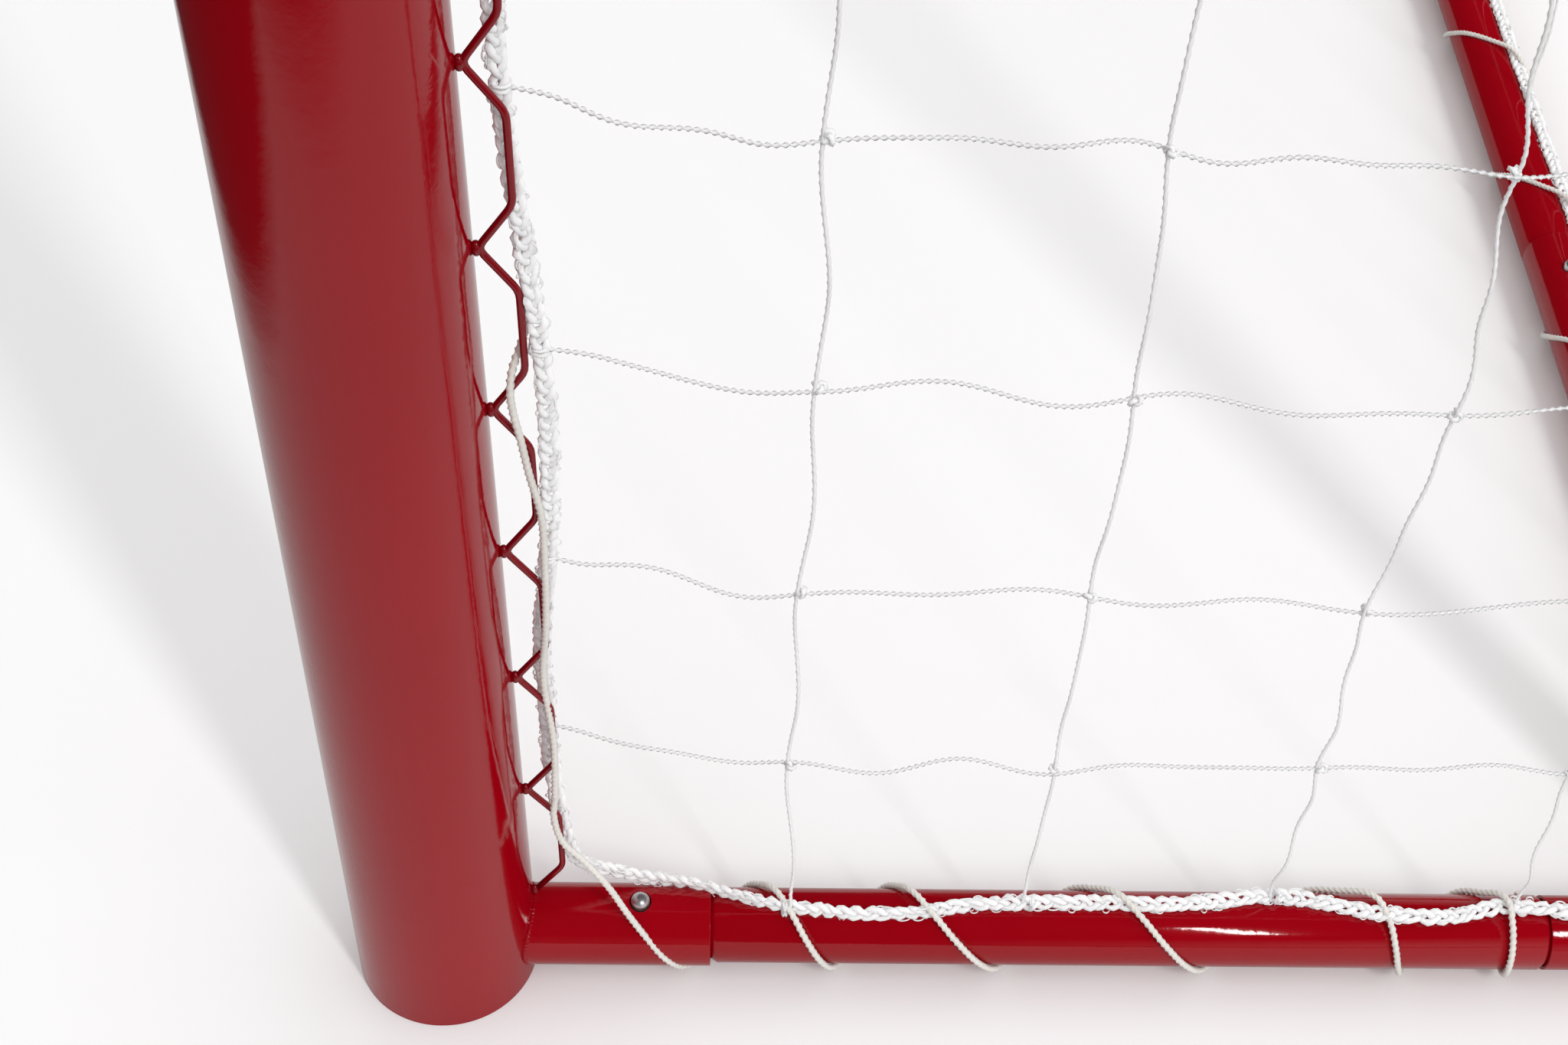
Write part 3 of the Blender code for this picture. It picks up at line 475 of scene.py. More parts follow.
def finish(name):
    """The material of that name, made at its first use from the panel's colours."""
    if name in bpy.data.materials and bpy.data.materials[name].get("goal_finish"):
        return bpy.data.materials[name]
    own = bpy.context.scene.goal_colours
    maker, *values = {
        "gloss_red_powder_coat": (powder_coat, own.red_dark, own.red_light, 0.08),
        "red_powder_coat_on_wire": (powder_coat, own.wire_dark, own.wire_light, 0.2),
        "nickel_chrome_plate": (metal, "D2D4D7", "F6F7F8", 0.4, 900.0),
        "cold_rolled_spring_steel": (metal, "5B5E63", "8E9196", 0.32, 1600.0),
        "moulded_black_polyethylene": (moulded_plastic, "101112", "26282A"),
        "white_net_twine": (white_fibre, own.white_shade_and_soil, own.white_light),
        "white_knitted_rope": (white_fibre, own.white_shade_and_soil, own.white_light),
        "white_laid_lacing_cord": (white_fibre, own.cord_shade_and_soil, own.cord_light),
    }[name]
    material = maker(name, *values)
    material.name = name
    material["goal_finish"] = True
    return material


# Tubes

def window_half(radius, columns):
    """Half the width of the square window of grid cells round a button hole."""
    return WINDOW * 2 * math.pi * radius / columns


def with_window(rows, middle, radius, columns):
    """Line places with those inside a hole's window changed for the window's own."""
    half = window_half(radius, columns)
    own = middle + np.linspace(-half, half, 2 * WINDOW + 1)
    rows = np.asarray(rows, float)
    return np.sort(np.concatenate([rows[(rows < own[0] - 1e-4) | (rows > own[-1] + 1e-4)], own]))


def window_shift(run, angles, radius, middle, facing):
    """Moves the grid points round a button hole. In the window's own square measure m,
    the line at half the window goes to the hole's circle, and a point between it and
    the window's edge moves by its share; the sideways place is radius times sin(angle).
    Returns the new run and angle, and which cells are inside the hole."""
    columns = len(angles)
    half = window_half(radius, columns)
    turn = (angles - facing + math.pi) % (2 * math.pi) - math.pi
    a = np.broadcast_to(((run - middle) / half)[:, None], (len(run), columns))
    b = np.broadcast_to((turn * radius / half)[None], a.shape)
    size = np.maximum(np.abs(a), np.abs(b))
    inside = size < 1 - 1e-6
    share = np.clip((size - 0.5) / 0.5, 0, 1)
    away = np.maximum(np.hypot(a, b), 1e-9)
    edge = np.maximum(size, 1e-9)
    hole_a, hole_b = a / away * BUTTON_HOLE_R, b / away * BUTTON_HOLE_R
    flat_a, flat_b = a / edge * half, radius * np.sin(b / edge * half / radius)
    new_a = hole_a + (flat_a - hole_a) * share
    new_b = hole_b + (flat_b - hole_b) * share
    new_turn = facing + np.arcsin(np.clip(new_b / radius, -1, 1))
    shifted_run = np.where(inside, middle + new_a, run[:, None])
    shifted_turn = np.where(inside, new_turn, angles[None])
    following = np.roll(np.arange(columns), -1)
    gone = size < 0.5 + 1e-6
    cells = gone[:-1] & gone[1:] & gone[:-1][:, following] & gone[1:][:, following]
    return shifted_run, shifted_turn, cells


def tube_grid(legs, radii, columns, holes):
    """Open tube skin along straight legs and arcs. legs gives for each run value its
    centre, direction and normal; radii is (run, radius) pairs, joined by straight
    lines; holes are (run, radius) pairs of the buttons, which face the normal."""
    knots = np.array([run for run, _ in radii])
    rows = np.unique(np.round(np.concatenate([knots, legs.stations]), 6))
    for run, radius in holes:
        rows = with_window(rows, run, radius, columns)
    angles = around(columns)
    run = np.broadcast_to(rows[:, None], (len(rows), columns)).copy()
    turn = np.broadcast_to(angles[None], run.shape).copy()
    keep = np.ones((len(rows) - 1, columns), bool)
    for place, radius in holes:
        shifted_run, shifted_turn, cells = window_shift(rows, angles, radius, place, 0.0)
        moved = (shifted_run != rows[:, None]) | (shifted_turn != angles[None])
        run = np.where(moved, shifted_run, run)
        turn = np.where(moved, shifted_turn, turn)
        keep &= ~cells
    radius = np.interp(run, knots, [value for _, value in radii])
    centre, way, side = legs.at(run)
    across = np.cross(way, side)
    points = centre + radius[..., None] * (np.cos(turn)[..., None] * side
                                           + np.sin(turn)[..., None] * across)
    girth = np.append(angles, 2 * math.pi) * radius.max()
    return Skin().grid(points, girth, rows, keep=keep)


class Legs:
    """Route of straight legs whose corners are arcs of one radius in one plane. at(run)
    gives the centre, the direction and the normal, which is the plane's own or, when
    turned, lies in the plane."""

    def __init__(self, corners, radius, plane, turned=False):
        corners = np.asarray(corners, float)
        way = unit(np.diff(corners, axis=0))
        self.plane, self.turned = np.asarray(plane, float), turned
        self.parts = []
        run, start = 0.0, corners[0]
        stations = [0.0]
        for i in range(len(way)):
            last = i == len(way) - 1
            angle = 0.0 if last else math.acos(np.clip(way[i] @ way[i + 1], -1, 1))
            cut = 0.0 if last else radius * math.tan(angle / 2)
            end = corners[i + 1] - way[i] * cut
            length = np.linalg.norm(end - start)
            self.parts.append((run, run + length, start, way[i], None))
            run += length
            stations.append(run)
            start = end
            if not last:
                inwards = unit(way[i + 1] - (way[i + 1] @ way[i]) * way[i])
                self.parts.append((run, run + radius * angle, start, way[i], (inwards, radius)))
                stations += list(np.linspace(run, run + radius * angle, BEND_ROWS + 1))
                run += radius * angle
                start = corners[i + 1] + way[i + 1] * cut
        self.stations = np.unique(np.round(stations, 9))
        self.length = run

    def at(self, run):
        centre = np.zeros(run.shape + (3,))
        way = np.zeros(run.shape + (3,))
        for number, (first, last, start, along, bend) in enumerate(self.parts):
            low = -np.inf if number == 0 else first
            high = np.inf if number == len(self.parts) - 1 else last
            here = (run >= low) & (run <= high)
            local = (run[here] - first)[:, None]
            if bend is None:
                centre[here] = start + along * local
                way[here] = along
            else:
                inwards, radius = bend
                turn = local / radius
                cos, sin = np.cos(turn), np.sin(turn)
                centre[here] = start + radius * (sin * along + (1 - cos) * inwards)
                way[here] = cos * along + sin * inwards
        plane = np.broadcast_to(self.plane, way.shape)
        return centre, way, np.cross(plane, way) if self.turned else plane


def shell(piece, wall):
    """Gives a tube skin its steel wall on the inside and a small round on its rims."""
    solid = piece.modifiers.new("wall", "SOLIDIFY")
    solid.thickness = wall
    solid.offset = -1
    rims = piece.modifiers.new("rims", "BEVEL")
    rims.width = RIM_ROUND
    rims.segments = 2
    rims.limit_method = "ANGLE"
    rims.angle_limit = math.radians(50)
    rims.harden_normals = True


def bead(skin, path, outwards, radius=0.0017):
    """Weld bead along a closed path: a circle whose radius ripples by a tenth as the
    weld pool froze."""
    run = lengths_along(np.concatenate([path, path[:1]]))
    count = int(run[-1] / BEAD_RIPPLE)
    way = unit(np.roll(path, -1, 0) - np.roll(path, 1, 0))
    normal = unit(outwards - (outwards * way).sum(-1, keepdims=True) * way)
    phase = 2 * math.pi * count * run[:-1] / run[-1]
    angles = around(10)
    size = radius * (1 + 0.10 * np.sin(phase[:, None] + 1.2 * np.cos(angles)))
    points = circles(path, normal, np.cross(way, normal), size, angles)
    skin.grid(points, 2 * math.pi * radius, run, closed=(True, True))


def stub(skin, beads, inboard, height, facing):
    """Tube socket behind the post, with its button hole at the angle facing. Its root
    follows the post's round: behind is the root of POST_R squared less the sideways
    place squared, where the sideways place on the mitred corner is the lesser of the
    places inboard and down."""
    columns = TUBE_COLUMNS
    angles = around(columns)
    hole = SOCKET_END - BUTTON_SETBACK
    rows = [0.0, SOCKET_END - 0.02, SOCKET_END - RIM, SOCKET_END]
    rows = with_window(rows, hole, TUBE_R, columns)
    run, turn, cells = window_shift(rows, angles, TUBE_R, hole, facing)
    side = inboard + TUBE_R * np.cos(turn)
    up = height + TUBE_R * np.sin(turn)
    lateral = np.minimum(side, BAR_Z - up)
    root = np.sqrt(np.maximum((POST_R - ROOT_SINK) ** 2 - lateral ** 2, 0))
    behind = np.where(run < 0.04, root, run)
    points = at(behind, side, up)[:, ::-1]
    keep = ~np.roll(cells[:, ::-1], -1, 1)
    skin.grid(points, 2 * math.pi * TUBE_R, rows, keep=keep)
    edge = np.sqrt(POST_R ** 2 - np.minimum(lateral[0], POST_R) ** 2)
    path = at(edge + BEAD_LIFT, side[0], up[0])
    outwards = np.stack([-np.cos(turn[0]), np.full(columns, 0.7), np.sin(turn[0])], -1)
    bead(beads, finer(path), finer(outwards))


def post_skin(skin, beads):
    """Post and crossbar stub as one tube bent at a mitre: the line where they meet has
    its height BAR_Z less the place inboard. The stub's end steps down to the swage."""
    columns = POST_COLUMNS
    angles = around(columns)
    inboard = POST_R * np.cos(angles)
    behind = POST_R * np.sin(angles)
    heights = (0.0, RIM, 0.3, 0.6, 0.9, BAR_Z - 0.05)
    upright = [at(behind, inboard, height) for height in heights]
    mitre = at(behind, inboard, BAR_Z - inboard)
    hole = CORNER_LEG + BAR_BUTTON_SETBACK
    ends = [(0.05, POST_R), (0.1, POST_R), (CORNER_LEG - SWAGE_TAPER, POST_R),
            (CORNER_LEG, POST_SWAGE), (CORNER_LEG + BAR_PLUG_IN, POST_SWAGE)]
    places = with_window([place for place, _ in ends], hole, POST_SWAGE, columns)
    run, turn, cells = window_shift(places, angles, POST_SWAGE, hole, 0.0)
    radius = np.interp(run, *zip(*ends))
    stretch = at(radius * np.sin(turn), run, BAR_Z - radius * np.cos(turn))
    points = np.concatenate([np.stack(upright + [mitre]), stretch])[:, ::-1]
    keep = np.ones((len(points) - 1, columns), bool)
    keep[-len(cells):] = ~np.roll(cells[:, ::-1], -1, 1)
    skin.grid(points, 2 * math.pi * POST_R, lengths_along(points[:, 0]), keep=keep)
    fine = np.linspace(0, 2 * math.pi, 400, endpoint=False)
    path = at(POST_R * np.sin(fine), POST_R * np.cos(fine), BAR_Z - POST_R * np.cos(fine))
    lift = np.stack([-np.cos(fine), np.sin(fine), -np.cos(fine)], -1)
    bead(beads, path, lift, 0.0011)


class GOAL_OT_posts(bpy.types.Operator):
    """Make both posts with their mitred corners, sockets and weld beads"""
    bl_idname = "goal.posts"
    bl_label = "Posts"

    def execute(self, context):
        red = finish("gloss_red_powder_coat")
        posts, sockets, beads = Skin(), Skin(), Skin()
        post_skin(posts, beads)
        stub(sockets, beads, 0.0, BASE_AXIS_Z, math.pi / 2)
        stub(sockets, beads, BOW_INSET, ARM_Z, -math.pi / 2)
        both_sides(posts, "post_tube_", red, "red_paint", "post_", wall=POST_WALL)
        both_sides(sockets, "post_sockets_", red, "red_paint", wall=TUBE_WALL)
        both_sides(beads, "post_weld_beads_", red, "red_paint", sharp=0)
        return {"FINISHED"}


def swaged(length, full, swage, plug_in, start, end):
    """Radii of a tube whose mouth-to-mouth length is given, with its plugged ends."""
    radii = []
    if start:
        radii += [(-plug_in, swage), (0.0, swage), (SWAGE_TAPER, full)]
    else:
        radii += [(0.0, full), (RIM, full)]
    if end:
        radii += [(length - SWAGE_TAPER, full), (length, swage), (length + plug_in, swage)]
    else:
        radii += [(length - RIM, full), (length, full)]
    return radii


def thin_tube(legs, plugged, holes):
    """Skin of a tube of the ground frame or the bow; plugged says whether its ends are
    swaged and go into the next tube."""
    radii = swaged(legs.length, TUBE_R, TUBE_SWAGE, TUBE_PLUG_IN, plugged, plugged)
    return tube_grid(legs, radii, TUBE_COLUMNS, holes)


class GOAL_OT_crossbar(bpy.types.Operator):
    """Make the two crossbar halves, plugged together in the middle"""
    bl_idname = "goal.crossbar"
    bl_label = "Crossbar"

    def execute(self, context):
        red = finish("gloss_red_powder_coat")
        end = POST_X - CORNER_LEG - PLAY
        centre = np.array((0.0, POST_Y, BAR_Z))
        for name, first, last, plugged in (("left", -end, 0.0, True), ("right", PLAY, end, False)):
            legs = Legs([centre + X * first, centre + X * last], 0.0, -Z)
            radii = swaged(last - first, POST_R, POST_SWAGE, BAR_PLUG_IN, False, plugged)
            outer = BAR_BUTTON_SETBACK - PLAY
            if plugged:
                holes = [(outer, POST_R), (last - first + BAR_BUTTON_SETBACK, POST_SWAGE)]
            else:
                holes = [(last - first - outer, POST_R), (outer, POST_R)]
            skin = tube_grid(legs, radii, POST_COLUMNS, holes)
            skin.build("crossbar_tube_" + name, red, "red_paint", ["crossbar_" + name],
                       wall=POST_WALL)
        return {"FINISHED"}


class GOAL_OT_ground_tubes(bpy.types.Operator):
    """Make the side tubes, the bent rear corners and the rear middle tube"""
    bl_idname = "goal.ground_tubes"
    bl_label = "Ground Tubes"

    def execute(self, context):
        red = finish("gloss_red_powder_coat")
        self.side_tubes(red)
        self.rear_bends(red)
        self.bow_socket(red)
        self.rear_tube(red)
        return {"FINISHED"}

    def side_tubes(self, red):
        """Straight tubes from the posts' sockets to the rear corners."""
        first, last = SOCKET_END + PLAY, SIDE_JOINT - PLAY
        legs = Legs([at(first, 0, BASE_AXIS_Z), at(last, 0, BASE_AXIS_Z)], 0.0, Z)
        holes = [(SOCKET_END - BUTTON_SETBACK - first, TUBE_SWAGE),
                 (SIDE_JOINT + BUTTON_SETBACK - first, TUBE_SWAGE)]
        both_sides(thin_tube(legs, True, holes), "side_ground_tube_", red, "red_paint",
                   "side_tube_", wall=TUBE_WALL)

    def rear_bends(self, red):
        """Bent rear corners, with an open mouth at both ends."""
        corners = [at(SIDE_JOINT, 0, BASE_AXIS_Z), at(BASE_DEPTH, 0, BASE_AXIS_Z),
                   at(BASE_DEPTH, REAR_LEG, BASE_AXIS_Z)]
        legs = Legs(corners, ELBOW_RADIUS, Z)
        holes = [(BUTTON_SETBACK, TUBE_R), (legs.length - BUTTON_SETBACK, TUBE_R)]
        both_sides(thin_tube(legs, False, holes), "rear_bend_", red, "red_paint",
                   "rear_corner_", wall=TUBE_WALL)

    def rear_tube(self, red):
        """Straight tube from one rear corner to the other."""
        ends = [at(BASE_DEPTH, REAR_LEG + PLAY, BASE_AXIS_Z)]
        ends.insert(0, ends[0] * (-1, 1, 1))
        legs = Legs(ends, 0.0, Z)
        setback = BUTTON_SETBACK + PLAY
        holes = [(-setback, TUBE_SWAGE), (legs.length + setback, TUBE_SWAGE)]
        thin_tube(legs, True, holes).build("rear_ground_tube", red, "red_paint",
                                           ["rear_middle_tube"], wall=TUBE_WALL)

    def bow_socket(self, red):
        """Upright socket on the bend: a tube whose lower line follows the bend's top,
        BASE_AXIS_Z plus the root of TUBE_R squared less the distance from the bend's
        middle line squared, with a bead along it."""
        ring = circles(at(UPRIGHT_BEHIND, BOW_INSET, 0.0), X, Y, TUBE_R, around(TUBE_COLUMNS))
        centre = at(ELBOW_START, ELBOW_RADIUS, 0.0)
        off = np.abs(np.linalg.norm((ring - centre)[:, :2], axis=1) - ELBOW_RADIUS)
        root = BASE_AXIS_Z + np.sqrt(np.maximum(TUBE_R ** 2 - off ** 2, 0))
        low = np.concatenate([ring[:, :2], root[:, None]], 1)
        heights = (0.045, 0.07, BOW_SOCKET_TOP - RIM, BOW_SOCKET_TOP)
        rows = [low - Z * 0.0008] + [ring + Z * height for height in heights]
        skin, beads = Skin(), Skin()
        skin.grid(np.stack(rows), 2 * math.pi * TUBE_R, [0, 0.02, 0.045, 0.07, 0.074])
        path = finer(low)
        bead(beads, path, circles(0.8 * Z, X, Y, 1.0, around(len(path))))
        both_sides(skin, "bow_socket_", red, "red_paint", wall=TUBE_WALL)
        both_sides(beads, "bow_socket_weld_bead_", red, "red_paint", sharp=0)


class GOAL_OT_bows(bpy.types.Operator):
    """Make the bent tubes from the rear corners up and forward to the posts"""
    bl_idname = "goal.bows"
    bl_label = "Bows"

    def execute(self, context):
        corners = [at(UPRIGHT_BEHIND, BOW_INSET, BOW_SOCKET_TOP + PLAY),
                   at(UPRIGHT_BEHIND, BOW_INSET, ARM_Z), at(SOCKET_END + PLAY, BOW_INSET, ARM_Z)]
        # On the arm the direction is -Y, so the plane's normal X gives the normal X x -Y = -Z
        legs = Legs(corners, BOW_RADIUS, X, turned=True)
        holes = [(legs.length + BUTTON_SETBACK + PLAY, TUBE_SWAGE)]
        both_sides(thin_tube(legs, True, holes), "bow_tube_", finish("gloss_red_powder_coat"),
                   "red_paint", "side_bow_", wall=TUBE_WALL)
        return {"FINISHED"}


# Feet, buttons and clips

def turned(profile, columns):
    """Surface of revolution: each (radius, height) pair becomes a ring about Z."""
    radius, height = np.asarray(profile, float).T
    return circles(np.outer(height, Z), X, Y, radius[:, None], around(columns))


def corner_arc(centre, radius, first, last, steps=4):
    """Profile points on a quarter round, angles in degrees from outwards to up."""
    turn = np.radians(np.linspace(first, last, steps))
    return [(centre[0] + radius * math.cos(t), centre[1] + radius * math.sin(t)) for t in turn]


class GOAL_OT_feet(bpy.types.Operator):
    """Make the moulded plugs in the posts and the moulded saddles under the rear tube"""
    bl_idname = "goal.feet"
    bl_label = "Feet"

    def execute(self, context):
        plastic = finish("moulded_black_polyethylene")
        both_sides(self.plug(), "post_foot_plug_", plastic, "dark_plastic", "foot_plug_")
        both_sides(self.saddle(), "rear_saddle_foot_", plastic, "dark_plastic", "rear_foot_")
        return {"FINISHED"}

    def plug(self):
        """Round cup in the post's lower end, with a floor of 3 mm and a wall of 2 mm."""
        bore = POST_R - POST_WALL - PLAY
        wall = 0.002
        profile = [(0.0001, 0.0), (bore - 0.006, 0.0)]
        profile += corner_arc((bore - 0.0008, 0.0008), 0.0008, -90, 0)
        profile += corner_arc((bore - 0.0006, 0.0134), 0.0006, 0, 90)
        profile += corner_arc((bore - wall + 0.0006, 0.0134), 0.0006, 90, 180)
        profile += [(bore - wall, 0.005), (bore - wall - 0.002, 0.003), (0.0001, 0.003)]
        rings = turned(profile, 72) + at(0, 0, 0)
        return Skin().grid(rings, 0.22, np.linspace(0, 0.1, len(rings)), caps=True)

    def saddle(self):
        """Outline of a rounded block with a round seat, carried along the rear tube and
        drawn in a little at both ends."""
        reach = 0.020
        half, top = 0.012, 0.011
        seat = TUBE_R + PLAY
        across = np.linspace(-half + 0.001, half - 0.001, 25)
        dip = BASE_AXIS_Z - np.sqrt(np.maximum(seat ** 2 - across ** 2, 0))
        upper = np.stack([across, np.minimum(dip, top)], -1)
        right = np.array(corner_arc((half - 0.001, 0.0012), 0.001, 0, -90, 5))
        left = np.array(corner_arc((-half + 0.001, 0.0012), 0.001, -90, -180, 5))
        right[:, 1] -= right[:, 1].min()
        left[:, 1] -= left[:, 1].min()
        outline = np.concatenate([upper, right, left])
        ends = np.array([0.0, 0.0006, 0.0012, 0.002, 0.038, 0.0388, 0.0394, 0.04]) - reach
        shrink = np.array([0.88, 0.95, 0.985, 1.0, 1.0, 0.985, 0.95, 0.88])
        middle = np.array((0.0, 0.005))
        shape = middle + (outline - middle)[None] * shrink[:, None, None]
        shape[..., 1] = np.where(outline[None, :, 1] < 0.0012, outline[None, :, 1], shape[..., 1])
        shape[..., 1] = np.minimum(shape[..., 1], outline[None, :, 1])
        points = at(BASE_DEPTH + shape[..., 0], REAR_FOOT_INBOARD + ends[:, None], shape[..., 1])
        return Skin().grid(points, 0.07, ends, caps=True)


BUTTONS = {
    "base": (at(SOCKET_END - BUTTON_SETBACK, 0, BASE_AXIS_Z), Z, Y),
    "side": (at(SIDE_JOINT + BUTTON_SETBACK, 0, BASE_AXIS_Z), Z, Y),
    "rear": (at(BASE_DEPTH, REAR_LEG - BUTTON_SETBACK, BASE_AXIS_Z), Z, X),
    "arm": (at(SOCKET_END - BUTTON_SETBACK, BOW_INSET, ARM_Z), -Z, Y),
    "corner": (at(0, CORNER_LEG + BAR_BUTTON_SETBACK, BAR_Z), -Z, X),
    "crossbar": (np.array((BAR_BUTTON_SETBACK, POST_Y, BAR_Z)), -Z, X),
}


def button_skin(tube_radius, bore, origin, up, along):
    """Snap button: a pin whose dome is a quarter ellipse turned about its axis, on the
    leaf pad, a rounded slab whose outline is a superellipse of power 5."""
    half_long, half_wide, half_thick = 0.0065, 0.0045, 0.0004
    dome, clearance = 0.0032, 0.0006
    top = tube_radius + BUTTON_PROUD
    middle = math.sqrt(bore ** 2 - half_wide ** 2) - clearance - half_thick
    turn = np.linspace(0.02, math.pi / 2, 10)
    profile = [(BUTTON_R * math.sin(t), top - dome * (1 - math.cos(t))) for t in turn]
    profile += [(BUTTON_R, middle)]
    pin = turned(profile[::-1], 40)
    cos, sin = np.cos(around(48)), np.sin(around(48))
    power = 2 / 5
    outline = np.stack([half_long * np.sign(cos) * np.abs(cos) ** power,
                        half_wide * np.sign(sin) * np.abs(sin) ** power,
                        np.zeros(48)], -1)
    rings = ((0.02, -1.0), (0.97, -1.0), (1.0, -0.5), (1.0, 0.5), (0.97, 1.0), (0.02, 1.0))
    slab = np.stack([outline * size + Z * (middle + half_thick * level) for size, level in rings])
    skin = Skin()
    turn_to = np.stack([along, np.cross(up, along), up])
    for points in (pin, slab):
        skin.grid(points @ turn_to + origin, 0.02, np.linspace(0, 0.01, len(points)), caps=True)
    return skin


class GOAL_OT_buttons(bpy.types.Operator):
    """Make the eleven snap buttons, each riding on its own sliding body"""
    bl_idname = "goal.buttons"
    bl_label = "Snap Buttons"

    def execute(self, context):
        plate = finish("nickel_chrome_plate")
        for label, (origin, up, along) in BUTTONS.items():
            bar = label in ("corner", "crossbar")
            bore = (POST_SWAGE - POST_WALL) if bar else (TUBE_SWAGE - TUBE_WALL)
            skin = button_skin(POST_R if bar else TUBE_R, bore, origin, up, along)
            halves = [(label, skin)]
            if label != "crossbar":
                halves = [(label + "_right", skin), (label + "_left", skin.mirrored())]
            for full, half in halves:
                half.build("domed_button_" + full, plate, "bright_steel",
                           ["snap_button_" + full], body="button_" + full)
        return {"FINISHED"}


class GOAL_OT_clips(bpy.types.Operator):
    """Give the V springs inside the tubes their spring-steel finish"""
    bl_idname = "goal.clips"
    bl_label = "Spring Clips"

    def execute(self, context):
        steel = finish("cold_rolled_spring_steel")
        for name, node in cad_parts.items():
            if name.startswith("spring_clip_"):
                node.data.materials.clear()
                node.data.materials.append(steel)
        return {"FINISHED"}


# Lacing wire

def wire_path(start, along, outwards, cells):
    """Trapezoid wave: from each weld node a diagonal out to the outer run and back to
    the next node, with its corners rounded."""
    shares = np.array([0, WIRE_DIAGONAL, 1 - WIRE_DIAGONAL])
    places = (np.arange(cells)[:, None] + shares).ravel() * WIRE_PITCH
    out = np.tile([0, 1, 1], cells) * WIRE_REACH
    points = start + places[:, None] * along + out[:, None] * outwards
    points = np.concatenate([points, [start + along * WIRE_PITCH * cells]])
    return rounded(points, 0.0032, 4)


def weld_spots(skin, nodes, along, outwards):
    """Small weld blobs: ellipsoids of 3 by 2 by 2 mm half sizes between wire and tube,
    each a grid of latitude and longitude."""
    latitude = np.linspace(-math.pi / 2 + 0.02, math.pi / 2 - 0.02, 7)
    middles = 0.0030 * np.outer(np.sin(latitude), along)
    shape = circles(middles, outwards, np.cross(along, outwards),
                    0.0020 * np.cos(latitude)[:, None], around(10))
    for node in nodes:
        skin.grid(node + shape - outwards * 0.0004, 0.01, 0.01, caps=True)


class GOAL_OT_lacing_wires(bpy.types.Operator):
    """Make the zigzag wires welded along the posts and the crossbar"""
    bl_idname = "goal.lacing_wires"
    bl_label = "Lacing Wires"

    def execute(self, context):
        red = finish("red_powder_coat_on_wire")
        post_cells = int((ARM_Z - TUBE_R - WIRE_FIRST_NODE) / WIRE_PITCH)
        bar_cells = int((POST_X - CORNER_LEG - BAR_WIRE_START) / WIRE_PITCH)
        bar_start = np.array((BAR_WIRE_START, POST_Y + WIRE_NODE, BAR_Z))
        for name, start, along, cells, normal in (
                ("post", at(WIRE_NODE, 0, WIRE_FIRST_NODE), Z, post_cells, X),
                ("bar", bar_start, X, bar_cells, Z)):
            path = wire_path(start, along, Y, cells)
            skin = Skin()
            section = carried(path, normal, WIRE_R, around(14))
            skin.grid(section, 0.008, lengths_along(path), caps=True)
            nodes = start + np.arange(cells + 1)[:, None] * WIRE_PITCH * along
            weld_spots(skin, nodes, along, Y)
            both_sides(skin, "welded_wire_" + name + "_", red, "red_wire",
                       "lacing_wire_" + name + "_", sharp=0)
        return {"FINISHED"}


# Net

def spread(first, pitch, end):
    """Places from first on, a pitch apart, that stay at least half a pitch short of end."""
    return first + pitch * np.arange(int((end - first) / pitch + 0.5))


def sway(count, size, rng):
    """Seeded offsets of hand-tied knots, at most a size each way."""
    return rng.uniform(-size, size, count)


def strand(skin, knots, reference, step, lay, rng, wave=0.0005, plies=3):
    """Twine through its knots with a small wander: two sine waves of its length. It is
    three plies, or two where they have to show apart."""
    path = through(knots, step)
    run = lengths_along(path)
    _, normal, across = frames(path, reference)
    ends = np.clip(np.minimum(run, run[-1] - run) / 0.02, 0, 1)
    for direction in (normal, across):
        phase = rng.uniform(0, 2 * math.pi, 2)
        lengths = rng.uniform(0.04, 0.11, 2)
        size = wave * ends * (np.sin(2 * math.pi * run / lengths[0] + phase[0])
                              + np.sin(2 * math.pi * run / lengths[1] + phase[1]))
        path = path + direction * size[:, None]
    radius, depth = (0.00092, 0.28) if plies == 2 else (0.00086, 0.14)
    cord(skin, path, reference, radius, lay, plies, 2 * plies, depth)


def knots_at(skin, places, rng):
    """Tied knots: a closed three-lobed loop, x = sin t + 2 sin 2t, y = cos t - 2 cos 2t,
    z = -1.3 sin 3t, drawn tight and turned at random, 15 by 4 faces each."""
    t = around(15)
    loop = np.stack([np.sin(t) + 2 * np.sin(2 * t), np.cos(t) - 2 * np.cos(2 * t),
                     -1.3 * np.sin(3 * t)], -1) * KNOT_SIZE / 2
    way = unit(np.roll(loop, -1, 0) - np.roll(loop, 1, 0))
    normal = unit(np.cross(way, Z) + 1e-3)
    ring = circles(loop, normal, np.cross(way, normal), KNOT_TWINE_R, around(4))
    w, x, y, z = unit(rng.normal(size=(len(places), 4))).T
    matrix = np.stack([1 - 2 * (y * y + z * z), 2 * (x * y - z * w), 2 * (x * z + y * w),
                       2 * (x * y + z * w), 1 - 2 * (x * x + z * z), 2 * (y * z - x * w),
                       2 * (x * z - y * w), 2 * (y * z + x * w), 1 - 2 * (x * x + y * y)],
                      -1).reshape(-1, 3, 3)
    skin.copies(np.einsum("rcj,nij->nrci", ring, matrix) + places[:, None, None])


def hitches(skin, places, way, rng):
    """Loops of twine round the border rope: a circle square to the rope's way, leaning
    a little, twice round with up to 1.8 mm between the turns."""
    t = around(20)
    first = unit(np.cross(way, Y if abs(way[2]) > 0.7 else Z))
    lean = rng.uniform(-0.0006, 0.0006, len(places))[:, None]
    rise = (0.0009 * np.sin(t) + lean * np.cos(t))[..., None]
    centre = circles(places, first, np.cross(way, first), HITCH_R, 2 * t) + rise * way
    radial = unit(centre - places[:, None])
    skin.copies(circles(centre, radial, way, 0.0007, around(4))[:, ::-1])


